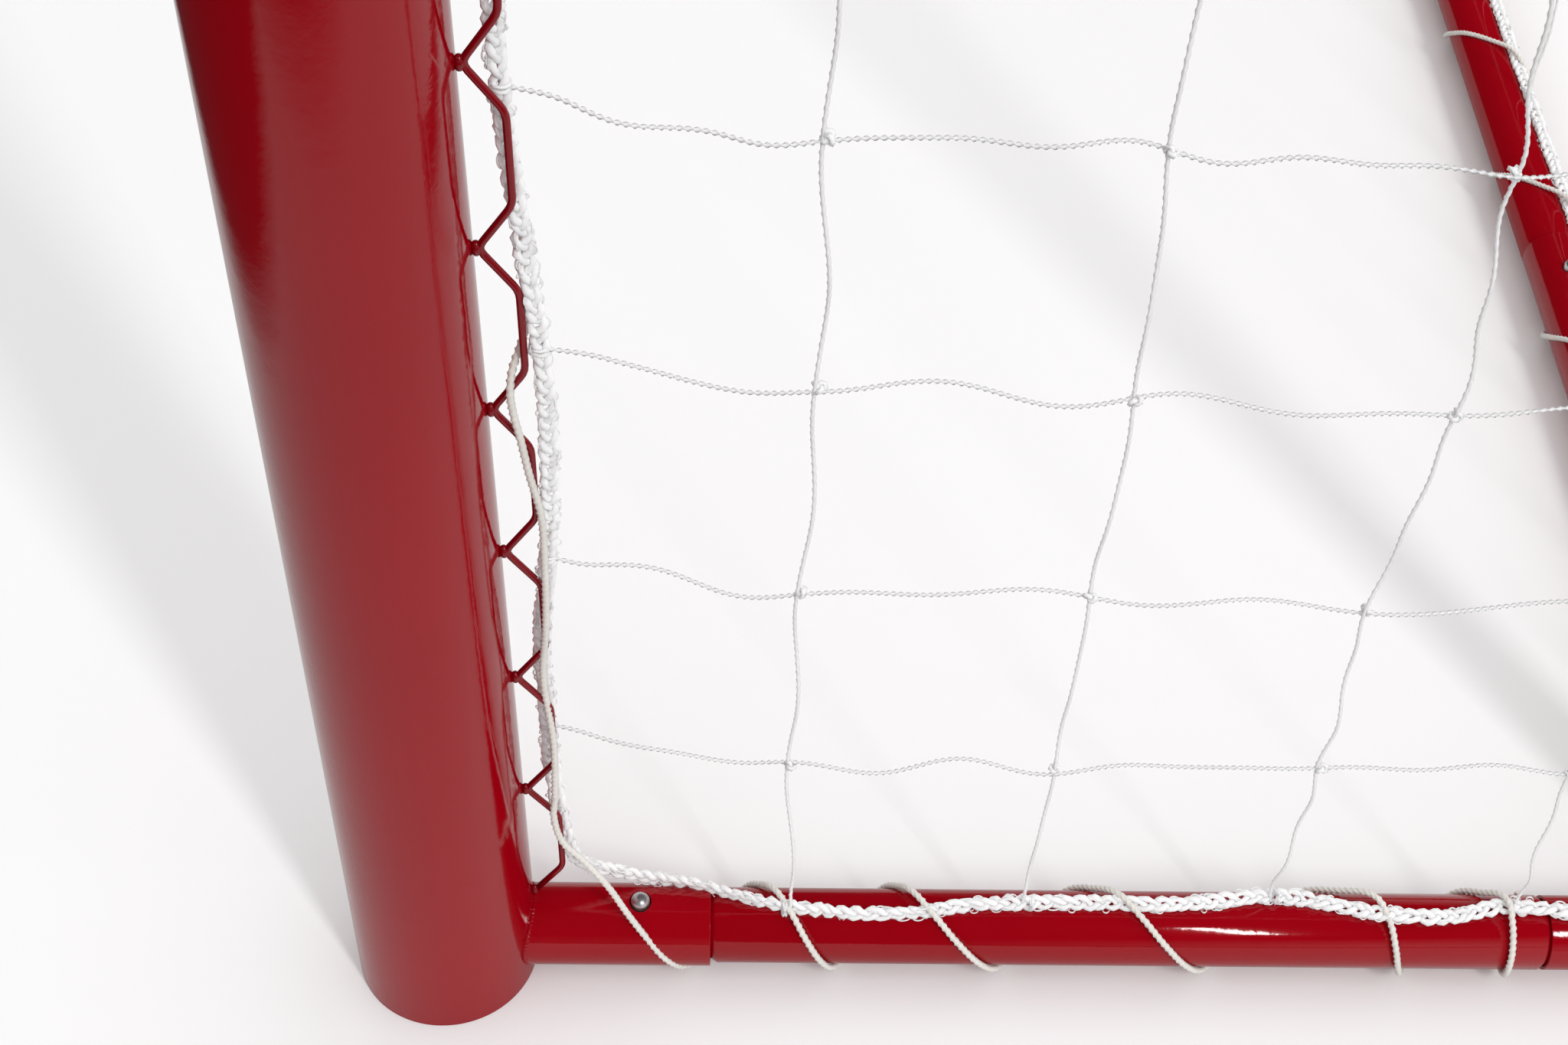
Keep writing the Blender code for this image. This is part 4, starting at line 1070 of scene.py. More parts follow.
# Where the photographed knots of the side net are, metres behind and above, by columns
SEEN_KNOTS = {
    (0, 0): (0.144, 0.134), (0, 1): (0.145, 0.237), (0, 2): (0.148, 0.340), (0, 3): (0.147, 0.443),
    (1, 0): (0.248, 0.134), (1, 1): (0.250, 0.237), (1, 2): (0.253, 0.336), (1, 3): (0.250, 0.440),
    (2, 0): (0.353, 0.136), (2, 1): (0.352, 0.231), (2, 2): (0.361, 0.331), (2, 3): (0.355, 0.434),
}


class GOAL_OT_nets(bpy.types.Operator):
    """Make the string net: side, back and top panels with their knots"""
    bl_idname = "goal.nets"
    bl_label = "Net"

    def execute(self, context):
        twine = finish("white_net_twine")
        rng = np.random.default_rng(RNG_SEED)
        columns = spread(FIRST_COLUMN, MESH_PITCH, BACK_NET)
        levels = spread(FIRST_ROW, MESH_PITCH, BAR_Z)
        half = spread(MESH_PITCH, MESH_PITCH, POST_X)
        across = np.concatenate([-half[::-1], [0.0], half])
        self.side_net(twine, columns, levels, rng)
        self.back_net(twine, across, levels, rng)
        self.top_net(twine, across, columns, rng)
        return {"FINISHED"}

    def side_net(self, twine, columns, levels, rng):
        """Rows run from the rope at the post down to the first knots and on to the back;
        uprights from the rope on the ground tube to the arm's edge."""
        skin = Skin()
        behind = columns[:, None] + sway((len(columns), len(levels)), 0.003, rng)
        height = levels[None] + sway(behind.shape, 0.0025, rng)
        depth = sway(behind.shape, 0.002, rng)
        for (column, level), (place, up) in SEEN_KNOTS.items():
            behind[column, level], height[column, level] = place, up
            depth[column, level] = 0.0
        heights = np.minimum(levels + 0.018, BAR_Z - 0.012)
        for level, up in enumerate(levels):
            front = [(*rope_up_post(heights[level]), heights[level]),
                     (ROPE_BEHIND + 0.032, 0.0005, up + 0.0105),
                     (ROPE_BEHIND + 0.066, 0.0, up + 0.0005)]
            back = [(BACK_NET - 0.001, 0.0, up + 0.003)]
            own = list(zip(behind[:, level], depth[:, level], height[:, level]))
            knots = at(*np.array(front + own + back).T)
            strand(skin, knots, X, 0.0006, 0.0054, rng, wave=0.0012, plies=2)
        for column in range(len(columns)):
            foot = behind[column, 0] + rng.uniform(-0.004, 0.004)
            low = [(foot, rope_on_side(foot), BASE_ROPE_Z)]
            top = [(behind[column, -1], 0.0, BAR_Z - 0.0008)]
            own = list(zip(behind[column], depth[column], height[column]))
            knots = at(*np.array(low + own + top).T)
            strand(skin, knots, X, 0.001, 0.0120, rng, wave=0.0009)
        knots_at(skin, at(behind, depth, height).reshape(-1, 3), rng)
        hitches(skin, at(*rope_up_post(heights), heights), Z, rng)
        hitches(skin, at(behind[:, 0], rope_on_side(behind[:, 0]), BASE_ROPE_Z), Y, rng)
        both_sides(skin, "side_netting_", twine, "net_twine", "net_side_", sharp=0)

    def back_net(self, twine, across, levels, rng):
        """Rows across the back and uprights from the rope on the rear tube to the top, through
        knots that stray a little at random.
        """
        rows, uprights = Skin(), Skin()
        all_x = np.concatenate([[-POST_X], across, [POST_X]])
        x = all_x[:, None] + sway((len(all_x), len(levels)), 0.003, rng)
        x[0], x[-1] = -POST_X, POST_X
        z = levels[None] + sway(x.shape, 0.003, rng)
        y = POST_Y + BACK_NET + sway(x.shape, 0.0015, rng)
        places = np.stack([x, y, z], -1)
        for level in range(len(levels)):
            strand(rows, places[:, level], Z, 0.0022, 0.024, rng)
        for number in range(len(all_x)):
            base = REAR_ROPE_Z if 0 < number < len(all_x) - 1 else REAR_ROPE_Z + 0.004
            low = np.array([[x[number, 0], POST_Y + BACK_NET, base]])
            top = np.array([[x[number, -1], POST_Y + BACK_NET, BAR_Z]])
            strand(uprights, np.concatenate([low, places[number], top]), Y, 0.0022, 0.024, rng)
        knots_at(rows, places.reshape(-1, 3), rng)
        hitches(uprights, at(BACK_NET, POST_X - x[1:-1, 0], REAR_ROPE_Z), X, rng)
        rows.build("back_netting_rows", twine, "net_twine", ["net_back"], sharp=0)
        uprights.build("back_netting_uprights", twine, "net_twine", ["net_back"], sharp=0)

    def top_net(self, twine, across, columns, rng):
        """Rows along the crossbar and strands from the crossbar's rope to the back edge;
        the panel sags between the arms by a flat bowl shape."""
        skin = Skin()
        all_x = np.concatenate([[-POST_X], across, [POST_X]])
        all_y = np.concatenate([columns, [BACK_NET]])
        x = all_x[:, None] + sway((len(all_x), len(all_y)), 0.003, rng)
        x[0], x[-1] = -POST_X, POST_X
        y = POST_Y + all_y[None] + sway(x.shape, 0.0025, rng)
        y[:, -1] = POST_Y + BACK_NET
        bowl = (1 - (all_x / POST_X) ** 2)[:, None]
        z = BAR_Z - 0.006 * bowl * (all_y < BACK_NET) + sway(x.shape, 0.001, rng)
        z[0], z[-1] = BAR_Z, BAR_Z
        places = np.stack([x, y, z], -1)
        for number in range(len(all_y)):
            strand(skin, places[:, number], Z, 0.0024, 0.024, rng)
        front = POST_Y + ROPE_BEHIND
        for number in range(len(all_x)):
            first = np.array([[all_x[number], front, BAR_Z]])
            strand(skin, np.concatenate([first, places[number]]), Z, 0.0024, 0.024, rng)
        knots_at(skin, places[:, :-1].reshape(-1, 3), rng)
        hitches(skin, at(ROPE_BEHIND, POST_X - across, BAR_Z), X, rng)
        skin.build("top_netting", twine, "net_twine", ["net_top"], sharp=0)


# Border rope and lacing

# Route of the border rope, as (behind, inboard, height), with the part's own turns where
# it leaves the post's wire and where it goes round the bow
ROPE_ON_SIDE = [
    (0.160, -0.0042, BASE_ROPE_Z - 0.0008),
    (0.192, -0.0052, BASE_ROPE_Z - 0.0012),
    (0.226, -0.0008, BASE_ROPE_Z),
    (0.270, 0.0004, BASE_ROPE_Z),
    (0.312, 0.0002, BASE_ROPE_Z),
    (0.356, 0.0052, BASE_ROPE_Z - 0.0010),
    (0.392, -0.0026, BASE_ROPE_Z - 0.0002),
    (0.424, -0.0046, BASE_ROPE_Z - 0.0008),
    (0.452, 0.0006, BASE_ROPE_Z),
]
ROPE_AT_POST = [
    (SOCKET_END + 0.0155, 0.0010, BASE_ROPE_Z),
    (SOCKET_END - 0.0045, 0.0080, BASE_ROPE_Z - 0.0008),
    (SOCKET_END - 0.0265, 0.0115, BASE_ROPE_Z - 0.0005),
    (ROPE_BEHIND + 0.018, 0.010, 0.0455),
    (ROPE_BEHIND + 0.008, 0.006, 0.055),
    (ROPE_BEHIND + 0.001, 0.002, 0.068),
]
ROPE_UP_POST = [
    (0.0525, 0.0034, 0.088), (0.0500, 0.0048, 0.125), (0.0495, 0.0050, 0.160),
    (0.0500, 0.0048, 0.205), (0.0545, 0.0016, 0.252), (0.0575, 0.0000, 0.300),
    (0.0575, 0.0002, 0.350), (0.0540, 0.0026, 0.395), (0.0505, 0.0046, 0.440),
    (0.0500, 0.0050, 0.500),
]
ROPE_AT_CORNER = [
    (BACK_NET, 0.060, REAR_ROPE_Z),
    (BACK_NET, 0.018, REAR_ROPE_Z),
    (BACK_NET - 0.003, 0.006, BASE_ROPE_Z - 0.002),
    (UPRIGHT_BEHIND + 0.006, 0.0, BASE_ROPE_Z - 0.001),
    (ELBOW_START + 0.022, -0.001, BASE_ROPE_Z),
    (ELBOW_START + 0.006, -0.0065, BASE_ROPE_Z - 0.001),
    (SIDE_JOINT + BUTTON_SETBACK, -0.0093, BASE_ROPE_Z - 0.002),
    (SIDE_JOINT + 0.018, -0.005, BASE_ROPE_Z - 0.0004),
]


def rope_up_post(height):
    """Places behind and inboard of the rope at a height up the post."""
    behind, inboard, up = np.array(ROPE_UP_POST + [(ROPE_BEHIND, 0.0, 0.56)]).T
    return np.interp(height, up, behind), np.interp(height, up, inboard)


def rope_on_side(behind):
    """Place inboard of the rope on the ground tube."""
    place, inboard, _ = np.array(ROPE_ON_SIDE + ROPE_AT_CORNER[:4:-1]).T
    return np.interp(behind, place, inboard)


def rope_route():
    """Right half of the rope, from the middle of the rear tube round to the middle of the
    crossbar, with the direction that stays square to it: up along the rear, sideways
    along the side and rearwards along the crossbar."""
    rear = [(BACK_NET, POST_X - place, REAR_ROPE_Z) for place in np.linspace(0, 0.78, 9)]
    upper = [(ROPE_BEHIND + 0.0015 * math.sin(7 * i), 0.0012 * math.sin(5 * i), 0.56 + 0.085 * i)
             for i in range(7)]
    corner = [(ROPE_BEHIND, 0.0, BAR_Z - 0.03), (ROPE_BEHIND, 0.0015, BAR_Z - 0.009),
              (ROPE_BEHIND, 0.009, BAR_Z - 0.0015), (ROPE_BEHIND, 0.03, BAR_Z)]
    bar = [(ROPE_BEHIND, place, BAR_Z) for place in np.linspace(0.1, POST_X, 9)]
    points = rear + ROPE_AT_CORNER + ROPE_ON_SIDE[::-1] + ROPE_AT_POST + ROPE_UP_POST + upper
    points += corner + bar
    path = through(at(*np.array(points).T), 0.0016)
    run = lengths_along(path)
    # Where the rope turns to its next stretch
    keys = [run[np.argmin(np.linalg.norm(path - at(*point), axis=1))]
            for point in (ROPE_AT_CORNER[-1], ROPE_AT_POST[0], ROPE_AT_POST[-1], corner[0])]
    reference = between(run, [0, *keys, run[-1]], np.array([Z, Z, X, X, Y, Y]))
    return path, run, reference


def plait(skin, path, run, reference, length):
    """Three-strand plait: each strand's place across is width sin(p) and its place out
    is rise sin(2 p), with p one turn for each length and a third of a turn apart. The
    plait was knitted loosely, so its width and length wander by slow sine waves."""
    width, rise, radius = 0.0023, 0.0009, 0.00132
    _, normal, across = frames(path, reference)
    turns = round(run[-1] / length)
    wander = 0.5 * np.sin(run / 0.021) * np.sin(run / 0.0087 + 1.0) + 0.4 * np.sin(run / 0.0047)
    width = width * (1 + 0.22 * wander)
    rise = rise * (1 + 0.35 * np.sin(run / 0.013 + 2.0))
    for number in range(3):
        phase = 2 * math.pi * (turns * run / run[-1] + number / 3)
        phase += 0.5 * np.sin(run / 0.0061 + number)
        centre = (path + (width * np.sin(phase))[:, None] * across
                  + (rise * np.sin(2 * phase))[:, None] * normal)
        # Knitted loops swell the strand once in each 4 mm
        swell = radius * (1 + 0.16 * np.sin(2 * math.pi * run / 0.0041 + 2 * number)
                          + 0.10 * np.sin(run / 0.0023 + number))[:, None]
        section = carried(centre, reference, swell, around(7))
        skin.grid(section, 2 * math.pi * radius, run, caps=True)


def loose_loops(skin, path, reference, places, rng):
    """Pulled loops of yarn that stand off the rope's edges: half rings of 0.7 mm thread,
    0.8 to 2.2 mm high, with both feet in the rope."""
    way, normal, across = frames(path, reference)
    index = places.astype(int)
    t = np.linspace(-0.1, math.pi + 0.1, 11)
    turn = rng.choice([-1, 1], len(index)) * rng.uniform(0.9, 1.9, len(index))
    out = unit(np.cos(turn)[:, None] * normal[index] + np.sin(turn)[:, None] * across[index])
    height = rng.uniform(0.0008, 0.0022, len(index))[:, None, None]
    wide = rng.uniform(0.0012, 0.0030, len(index))[:, None, None]
    base = path[index] + out * 0.0022
    arch = (base[:, None] + height * np.sin(t)[None, :, None] * out[:, None]
            + wide * np.cos(t)[None, :, None] * way[index][:, None])
    direction = unit(np.gradient(arch, axis=1))
    side = np.cross(direction, out[:, None])
    shapes = circles(arch, side, np.cross(direction, side), 0.00034, around(4))
    skin.copies(shapes, closed=(False, True), across=0.001, along=0.006)


class GOAL_OT_border_rope(bpy.types.Operator):
    """Make the knitted border rope round the net's open edge"""
    bl_idname = "goal.border_rope"
    bl_label = "Border Rope"

    def execute(self, context):
        sizes = context.scene.goal_sizes
        path, run, reference = rope_route()
        rng = np.random.default_rng(RNG_SEED + 1)
        skin = Skin()
        plait(skin, path, run, reference, sizes.plait_length)
        loose_loops(skin, path, reference, rng.uniform(20, len(path) - 20, LOOSE_LOOPS), rng)
        both_sides(skin, "knitted_rope_", finish("white_knitted_rope"), "border_rope", sharp=0)
        for name in ("right", "left"):
            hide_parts("border_rope")
        return {"FINISHED"}


def hull_section(lean):
    """Outline of a cord round the ground tube and the rope on it: the arc round the tube,
    the arc round the rope and the two straight lines that touch both. Returns a function
    of the share of a turn, 0 over the rope, 0.5 under the tube, as (out, up)."""
    round_tube, round_rope = TUBE_R + PLAY + CORD_R, ROPE_R + PLAY + CORD_R
    touch = math.acos((round_tube - round_rope) / ROPE_ON_TUBE)
    over = np.linspace(0, touch, 12)
    under = np.linspace(touch, 2 * math.pi - touch, 60)
    back = np.linspace(-touch, 0, 12)
    arcs = ((round_rope, over, ROPE_ON_TUBE), (round_tube, under, 0.0),
            (round_rope, back, ROPE_ON_TUBE))
    outline = np.concatenate([np.stack([radius * np.sin(turn), lift + radius * np.cos(turn)], -1)
                              for radius, turn, lift in arcs])
    cos, sin = math.cos(lean), math.sin(lean)
    outline = outline @ np.array([[cos, -sin], [sin, cos]])
    share = lengths_along(outline)
    share /= share[-1]
    return lambda turns: between(turns % 1, share, outline).T


# Rear lacing: turns to each side, one turn's length and the middle turn's place
REAR_TURNS = 4.55
REAR_PITCH = 0.137
REAR_PHASE = -0.0015

# Side lacing: places behind the post at which the cord lies over the rope (whole turns)
# and under the tube (half turns)
SIDE_TURNS = [(0.14, 0.0842), (0.31, 0.0984), (0.5, 0.1110), (1.0, 0.1425), (1.31, 0.1624),
              (1.5, 0.1715), (2.0, 0.2000), (2.31, 0.2306), (2.5, 0.2435), (3.0, 0.2875),
              (3.31, 0.3181), (3.5, 0.3330), (4.0, 0.3975), (4.31, 0.4062), (4.5, 0.4150),
              (5.0, 0.4515), (5.31, 0.4526), (5.5, 0.4560), (5.8, 0.4630)]

# Start of the side lacing, from the wire down over the socket: (behind, inboard, up)
SIDE_LEAD = [(0.0510, -0.0042, 0.1166), (0.0500, -0.0046, 0.1050), (0.0530, -0.0056, 0.0880),
             (0.0604, -0.0066, 0.0775), (0.0705, -0.0086, 0.0612), (0.0785, -0.0108, 0.0440)]

# Lower end of the post's lacing as the photograph shows it: (up, behind, inboard)
POST_LEAD = [
    (0.1166, 0.0510, -0.0042), (0.150, 0.0520, -0.0032), (0.186, 0.0495, 0.0002),
    (0.222, 0.0525, -0.0034), (0.257, 0.0537, -0.0034), (0.280, 0.0536, -0.0034),
    (0.300, 0.0507, -0.0036), (0.317, 0.0486, -0.0034), (0.330, 0.0468, -0.0032),
    (0.338, 0.0464, -0.0031), (0.346, 0.0474, -0.0004), (0.352, 0.0498, 0.0034),
    (0.364, 0.0530, 0.0056), (0.380, 0.0530, 0.0068), (0.410, 0.0515, 0.0080),
    (0.450, 0.0502, 0.0090), (0.500, 0.0502, 0.0092), (0.540, 0.0520, 0.0068),
]


class GOAL_OT_lacing(bpy.types.Operator):
    """Wind the lacing cord round the ground tubes and the wires"""
    bl_idname = "goal.lacing"
    bl_label = "Lacing"

    def execute(self, context):
        white = finish("white_laid_lacing_cord")
        self.side(white)
        self.rear(white)
        self.post(white)
        self.bar(white)
        return {"FINISHED"}

    def lay_cord(self, path, reference):
        """Three-ply cord, whose plies turn once in 8.5 mm."""
        skin = Skin()
        cord(skin, path, reference, CORD_R * 1.04, 0.0085, columns=9)
        return skin

    def side(self, white):
        """The cord comes down from the wire, over the socket and round the tube."""
        turns = np.linspace(0.16, 5.8, 338)[::6]
        along = np.interp(turns, *np.array(SIDE_TURNS).T)
        out, up = hull_section(0.0)(turns)
        lead = at(*np.array(SIDE_LEAD).T)
        path = through(np.concatenate([lead, at(along, -out, BASE_AXIS_Z + up)]), CORD_STEP)
        axis = at(path[:, 1] - POST_Y, 0.0, BASE_AXIS_Z)
        both_sides(self.lay_cord(path, path - axis), "side_lacing_cord_", white, "lacing_cord",
                   "lacing_side_", sharp=0)

    def rear(self, white):
        """Turns round the rear tube as far apart as the photograph shows; whole turns lie
        over the rope, and the ends under the tube."""
        turns = np.linspace(-REAR_TURNS, REAR_TURNS, round(2 * REAR_TURNS * 60))[::6]
        inboard = POST_X - (REAR_PHASE + REAR_PITCH * turns)
        out, up = hull_section(REAR_LEAN)(turns)
        path = through(at(BASE_DEPTH + out, inboard, BASE_AXIS_Z + up), CORD_STEP)
        axis = at(BASE_DEPTH, POST_X - path[:, 0], BASE_AXIS_Z)
        self.lay_cord(path, path - axis).build("rear_lacing_cord", white, "lacing_cord",
                                               ["lacing_rear"], sharp=0)

    def crossings(self, first, last, places, put, lead=None, sign=1):
        """Cord beside the wire's outer run and the rope, crossing over by turns behind
        the rope and before the wire, as in the part's source."""
        beside = (ROPE_R + PLAY + CORD_R) * 1.12
        rear = ROPE_BEHIND + beside
        before = WIRE_OUTER - (WIRE_R + PLAY + CORD_R) * 1.15
        middle = (WIRE_OUTER + ROPE_BEHIND) / 2
        points = [put(first, middle, beside)] if lead is None else list(lead)
        for number, station in enumerate(places):
            far = rear if number % 2 else before
            for share in (-0.5, -0.2, 0.2, 0.5):
                deep = far if abs(share) < 0.3 else middle + (far - middle) * 0.35
                across = 0.45 if abs(share) < 0.3 else 1.0
                points.append(put(station + share * 0.024, deep,
                                  -sign * math.copysign(across, share) * beside))
            sign = -sign
        points.append(put(last, middle, sign * beside))
        dense = [points[0]]
        for start, end in zip(points[:-1], points[1:]):
            parts = max(int(np.linalg.norm(end - start) / 0.03), 1)
            dense += [start + (end - start) * part / parts for part in range(1, parts + 1)]
        return through(dense, CORD_STEP)

    def post(self, white):
        """Up the post's wire, from the photographed lower end on by even crossings."""
        bottom, top = WIRE_FIRST_NODE + WIRE_PITCH, BAR_Z - WIRE_PITCH
        places = spread(WIRE_FIRST_NODE + 1.5 * WIRE_PITCH, 3 * WIRE_PITCH, top)
        lead = [at(back, over, up) for up, back, over in POST_LEAD]
        path = self.crossings(bottom, top, places[2:],
                              lambda up, back, over: at(back, over, up), lead)
        both_sides(self.lay_cord(path, X), "post_lacing_cord_", white, "lacing_cord",
                   "lacing_post_", sharp=0)

    def bar(self, white):
        """Along both of the crossbar's wires, crossing at the same places each side."""
        half = spread(BAR_WIRE_START + 0.5 * WIRE_PITCH, 3 * WIRE_PITCH, POST_X - CORNER_LEG)
        places = np.concatenate([-half[::-1], half])
        reach = half[-1] + WIRE_PITCH / 3
        path = self.crossings(-reach, reach, places,
                              lambda x, back, over: at(back, POST_X - x, BAR_Z + over))
        self.lay_cord(path, Z).build("bar_lacing_cord", white, "lacing_cord", ["lacing_bar"],
                                     sharp=0)


# Stage

FLOOR_REACH = 14.0
CAMERA_LENS = 54.8
PITCH, YAW, ROLL = math.radians(47.20), math.radians(1.79), math.radians(2.06)
CAMERA_BEHIND, CAMERA_OUT, CAMERA_UP = 0.1203, 0.5665, 0.8862


def photo_way(behind, outboard, up):
    """Direction given behind, outboard of the right post and up, in the model's frame."""
    return np.array((outboard, behind, up))


def set_matrix(thing, right, up, back, place):
    """Places a lamp or camera: its right, its up and the way behind it."""
    matrix = np.eye(4)
    matrix[:3] = np.stack([right, up, back, place], -1)
    thing.matrix_world = matrix.T.tolist()


def look(camera):
    """Turns the camera: it looks inboard, down by PITCH, with YAW and ROLL."""
    cos, sin = math.cos, math.sin
    ahead = photo_way(sin(YAW) * cos(PITCH), -cos(YAW) * cos(PITCH), -sin(PITCH))
    level = photo_way(cos(YAW), sin(YAW), 0.0)
    raised = np.cross(level, ahead)
    right = cos(ROLL) * level + sin(ROLL) * raised
    up = -sin(ROLL) * level + cos(ROLL) * raised
    set_matrix(camera, right, up, -ahead, at(CAMERA_BEHIND, -CAMERA_OUT, CAMERA_UP))


def area_light(name, place, aim, size, power):
    """Soft box at a place, turned to its aim."""
    data = bpy.data.lights.new(name, "AREA")
    data.shape = "RECTANGLE"
    data.size, data.size_y = size
    data.energy = power
    lamp = bpy.data.objects.new(name, data)
    back = unit(place - aim)
    level = unit(np.cross(Z, back))
    set_matrix(lamp, level, np.cross(back, level), back, place)
    bpy.context.scene.collection.objects.link(lamp)


class GOAL_OT_stage(bpy.types.Operator):
    """Lay the floor and set the lamps, the world and the camera"""
    bl_idname = "goal.stage"
    bl_label = "Stage"

    def execute(self, context):
        scene = context.scene
        self.lay_floor(scene.goal_colours)
        self.light_room(scene, scene.goal_colours)
        # A tall soft box far behind the camera
        area_light("key_lamp", at(3.0, -4.56, 5.6), at(0.2, 0.0, 0.2), (0.6, 2.6),
                   scene.goal_sizes.key_power)
        data = bpy.data.cameras.new("photo_camera")
        data.lens = CAMERA_LENS
        data.sensor_width = 36.0
        camera = bpy.data.objects.new("photo_camera", data)
        look(camera)
        scene.collection.objects.link(camera)
        scene.camera = camera
        scene.view_settings.view_transform = "Standard"
        return {"FINISHED"}

    def lay_floor(self, colours):
        """Sheet of matt paper. The camera sees it white all over. For the light that
        bounces to the goal it is painted greyer, and painted dark before the mouth and beside the
        camera:
        painted shade that dims the light the goal gets from there."""
        material, tree, shader = start_material("matt_paper_floor", Roughness=0.9, IOR=1.3,
                                                Specular_IOR_Level=0.1)
        place = place_on(tree)
        paper = two_tone(tree, noise(tree, place, 1.5), colours.floor_dark, colours.floor_light)
        parts = add(tree, "ShaderNodeSeparateXYZ", {0: place})
        before = share_of(tree, parts.outputs[1], POST_Y - 0.42, POST_Y - 0.52)
        beside = share_of(tree, parts.outputs[0], POST_X + 0.60, POST_X + 0.85)
        beyond = add(tree, "ShaderNodeMath", {0: before, 1: beside}, operation="MAXIMUM").outputs[0]
        # Painted shade: grey for bounced light, dark before the mouth and beside the camera
        bounced = two_tone(tree, beyond, "DCDCDC", "38383A")
        camera_ray = add(tree, "ShaderNodeLightPath").outputs["Is Camera Ray"]
        tree.links.new(two_tone(tree, camera_ray, bounced, paper), shader.inputs["Base Color"])
        ways = np.array((-FLOOR_REACH, FLOOR_REACH))
        points = np.stack(np.meshgrid(ways, ways, indexing="xy") + [np.zeros((2, 2))], -1)
        skin = Skin().grid(points, 1, 1, closed=(False, False))
        skin.build("floor", material, sharp=0, body=None)

    def light_room(self, scene, colours):
        """White backdrop behind the goal, and a dim room before it and above, as its
        gloss shows them; the soft light comes mostly from overhead."""
        world = bpy.data.worlds.new("studio")
        scene.world = world
        world.use_nodes = True
        sky = world.node_tree
        way = add(sky, "ShaderNodeTexCoord").outputs["Generated"]
        _, rearwards, upwards = add(sky, "ShaderNodeSeparateXYZ", {0: way}).outputs
        rise = share_of(sky, upwards, 0.05, 0.40)
        behind = share_of(sky, rearwards, -0.2, 0.6)
        ray = add(sky, "ShaderNodeLightPath").outputs
        backdrop = two_tone(sky, behind, "3A3A3C", "E4E4E4")
        room = two_tone(sky, rise, backdrop, "242527")
        ahead = share_of(sky, rearwards, -0.9, -0.1)
        low = two_tone(sky, ahead, colours.light_front, colours.light_back)
        fill = two_tone(sky, upwards, low, colours.light_high)
        seen = two_tone(sky, ray["Is Glossy Ray"], fill, room)
        shown = two_tone(sky, ray["Is Camera Ray"], seen, "EEEEEE")
        background = sky.nodes["Background"].inputs
        sky.links.new(shown, background["Color"])
        background["Strength"].default_value = 1.0


# Panel and settings

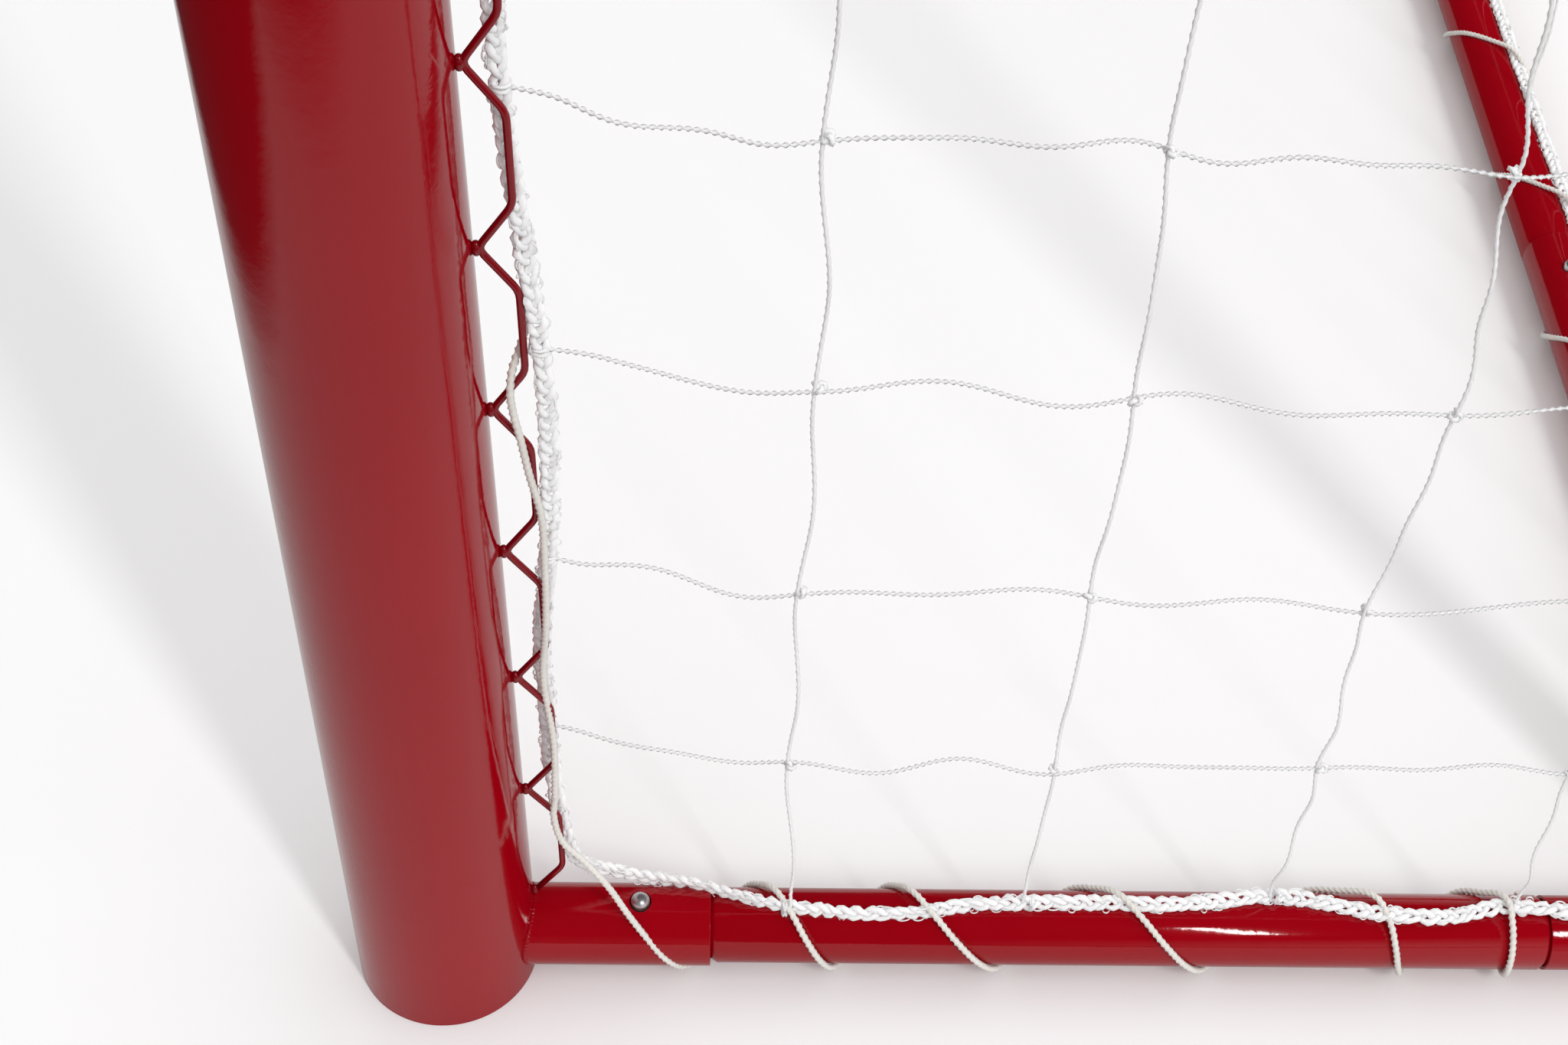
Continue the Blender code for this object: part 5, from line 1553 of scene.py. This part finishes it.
class GoalColours(bpy.types.PropertyGroup):
    """Finish colours, as sRGB hex text"""
    red_dark: bpy.props.StringProperty(
        name="Red, Darker", description="Powder coat, darker tone", default="8E000D", maxlen=6)
    red_light: bpy.props.StringProperty(
        name="Red, Lighter", description="Powder coat, lighter tone", default="9C0011", maxlen=6)
    wire_dark: bpy.props.StringProperty(
        name="Wire, Darker", description="Coat on the wire, darker", default="76000D", maxlen=6)
    wire_light: bpy.props.StringProperty(
        name="Wire, Lighter", description="Coat on the wire, lighter", default="860111", maxlen=6)
    # The darker twine tone is painted shade for the grooves between the plies, mixed with soil; the
    # lighter is the twine's own white
    white_shade_and_soil: bpy.props.StringProperty(
        name="Twine, Darker", description="Twine between its plies", default="F1F1F2", maxlen=6)
    white_light: bpy.props.StringProperty(
        name="Twine, Lighter", description="Twine on its plies", default="FFFFFF", maxlen=6)
    # The darker lacing tone is painted shade for the grooves between the plies, mixed with soil;
    # the lighter is the cord's own off-white
    cord_shade_and_soil: bpy.props.StringProperty(
        name="Lacing, Darker", description="Lacing between its plies", default="CFCBC3", maxlen=6)
    cord_light: bpy.props.StringProperty(
        name="Lacing, Lighter", description="Lacing on its plies", default="F3F0E9", maxlen=6)
    light_front: bpy.props.StringProperty(
        name="Light, Front", description="Low fill before the mouth", default="6C6C6C", maxlen=6)
    light_back: bpy.props.StringProperty(
        name="Light, Back", description="Low fill behind the goal", default="F0F0F0", maxlen=6)
    light_high: bpy.props.StringProperty(
        name="Light, High", description="Fill light overhead", default="FFFFFF", maxlen=6)
    # The two floor tones are mixed by slow cloudy noise all over; neither lies at a side of its own
    floor_light: bpy.props.StringProperty(
        name="Floor", description="Floor behind the goal", default="FAFAFB", maxlen=6)
    floor_dark: bpy.props.StringProperty(
        name="Floor, Near", description="Floor at the near side", default="F6F5F5", maxlen=6)


class GoalSizes(bpy.types.PropertyGroup):
    """Sizes that shape the dressing"""
    plait_length: bpy.props.FloatProperty(
        name="Plait Length", description="One full turn of a rope strand",
        default=0.0175, min=0.008, max=0.03, unit="LENGTH")
    key_power: bpy.props.FloatProperty(
        name="Key Lamp", description="Power of the key lamp",
        default=185.0, min=10.0, max=900.0, unit="POWER")


class GOAL_PT_panel(bpy.types.Panel):
    """Buttons that build the goal piece by piece"""
    bl_idname = "GOAL_PT_panel"
    bl_label = "Soccer Goal"
    bl_space_type = "VIEW_3D"
    bl_region_type = "UI"
    bl_category = "Goal"

    def draw(self, context):
        for operator in OPERATORS:
            self.layout.operator(operator.bl_idname)
        for group in (context.scene.goal_sizes, context.scene.goal_colours):
            for key in group.bl_rna.properties.keys():
                if key not in ("name", "rna_type"):
                    self.layout.prop(group, key)


OPERATORS = (GOAL_OT_posts, GOAL_OT_crossbar, GOAL_OT_ground_tubes, GOAL_OT_bows, GOAL_OT_feet,
             GOAL_OT_buttons, GOAL_OT_clips, GOAL_OT_lacing_wires, GOAL_OT_nets,
             GOAL_OT_border_rope, GOAL_OT_lacing, GOAL_OT_stage)
CLASSES = (GoalColours, GoalSizes) + OPERATORS + (GOAL_PT_panel,)


def register():
    for cls in CLASSES:
        bpy.utils.register_class(cls)
    bpy.types.Scene.goal_colours = bpy.props.PointerProperty(type=GoalColours)
    bpy.types.Scene.goal_sizes = bpy.props.PointerProperty(type=GoalSizes)


def unregister():
    del bpy.types.Scene.goal_sizes
    del bpy.types.Scene.goal_colours
    for cls in reversed(CLASSES):
        bpy.utils.unregister_class(cls)


def main():
    register()
    for operator in OPERATORS:
        group, name = operator.bl_idname.split(".")
        getattr(getattr(bpy.ops, group), name)()


if __name__ == "__main__":
    main()
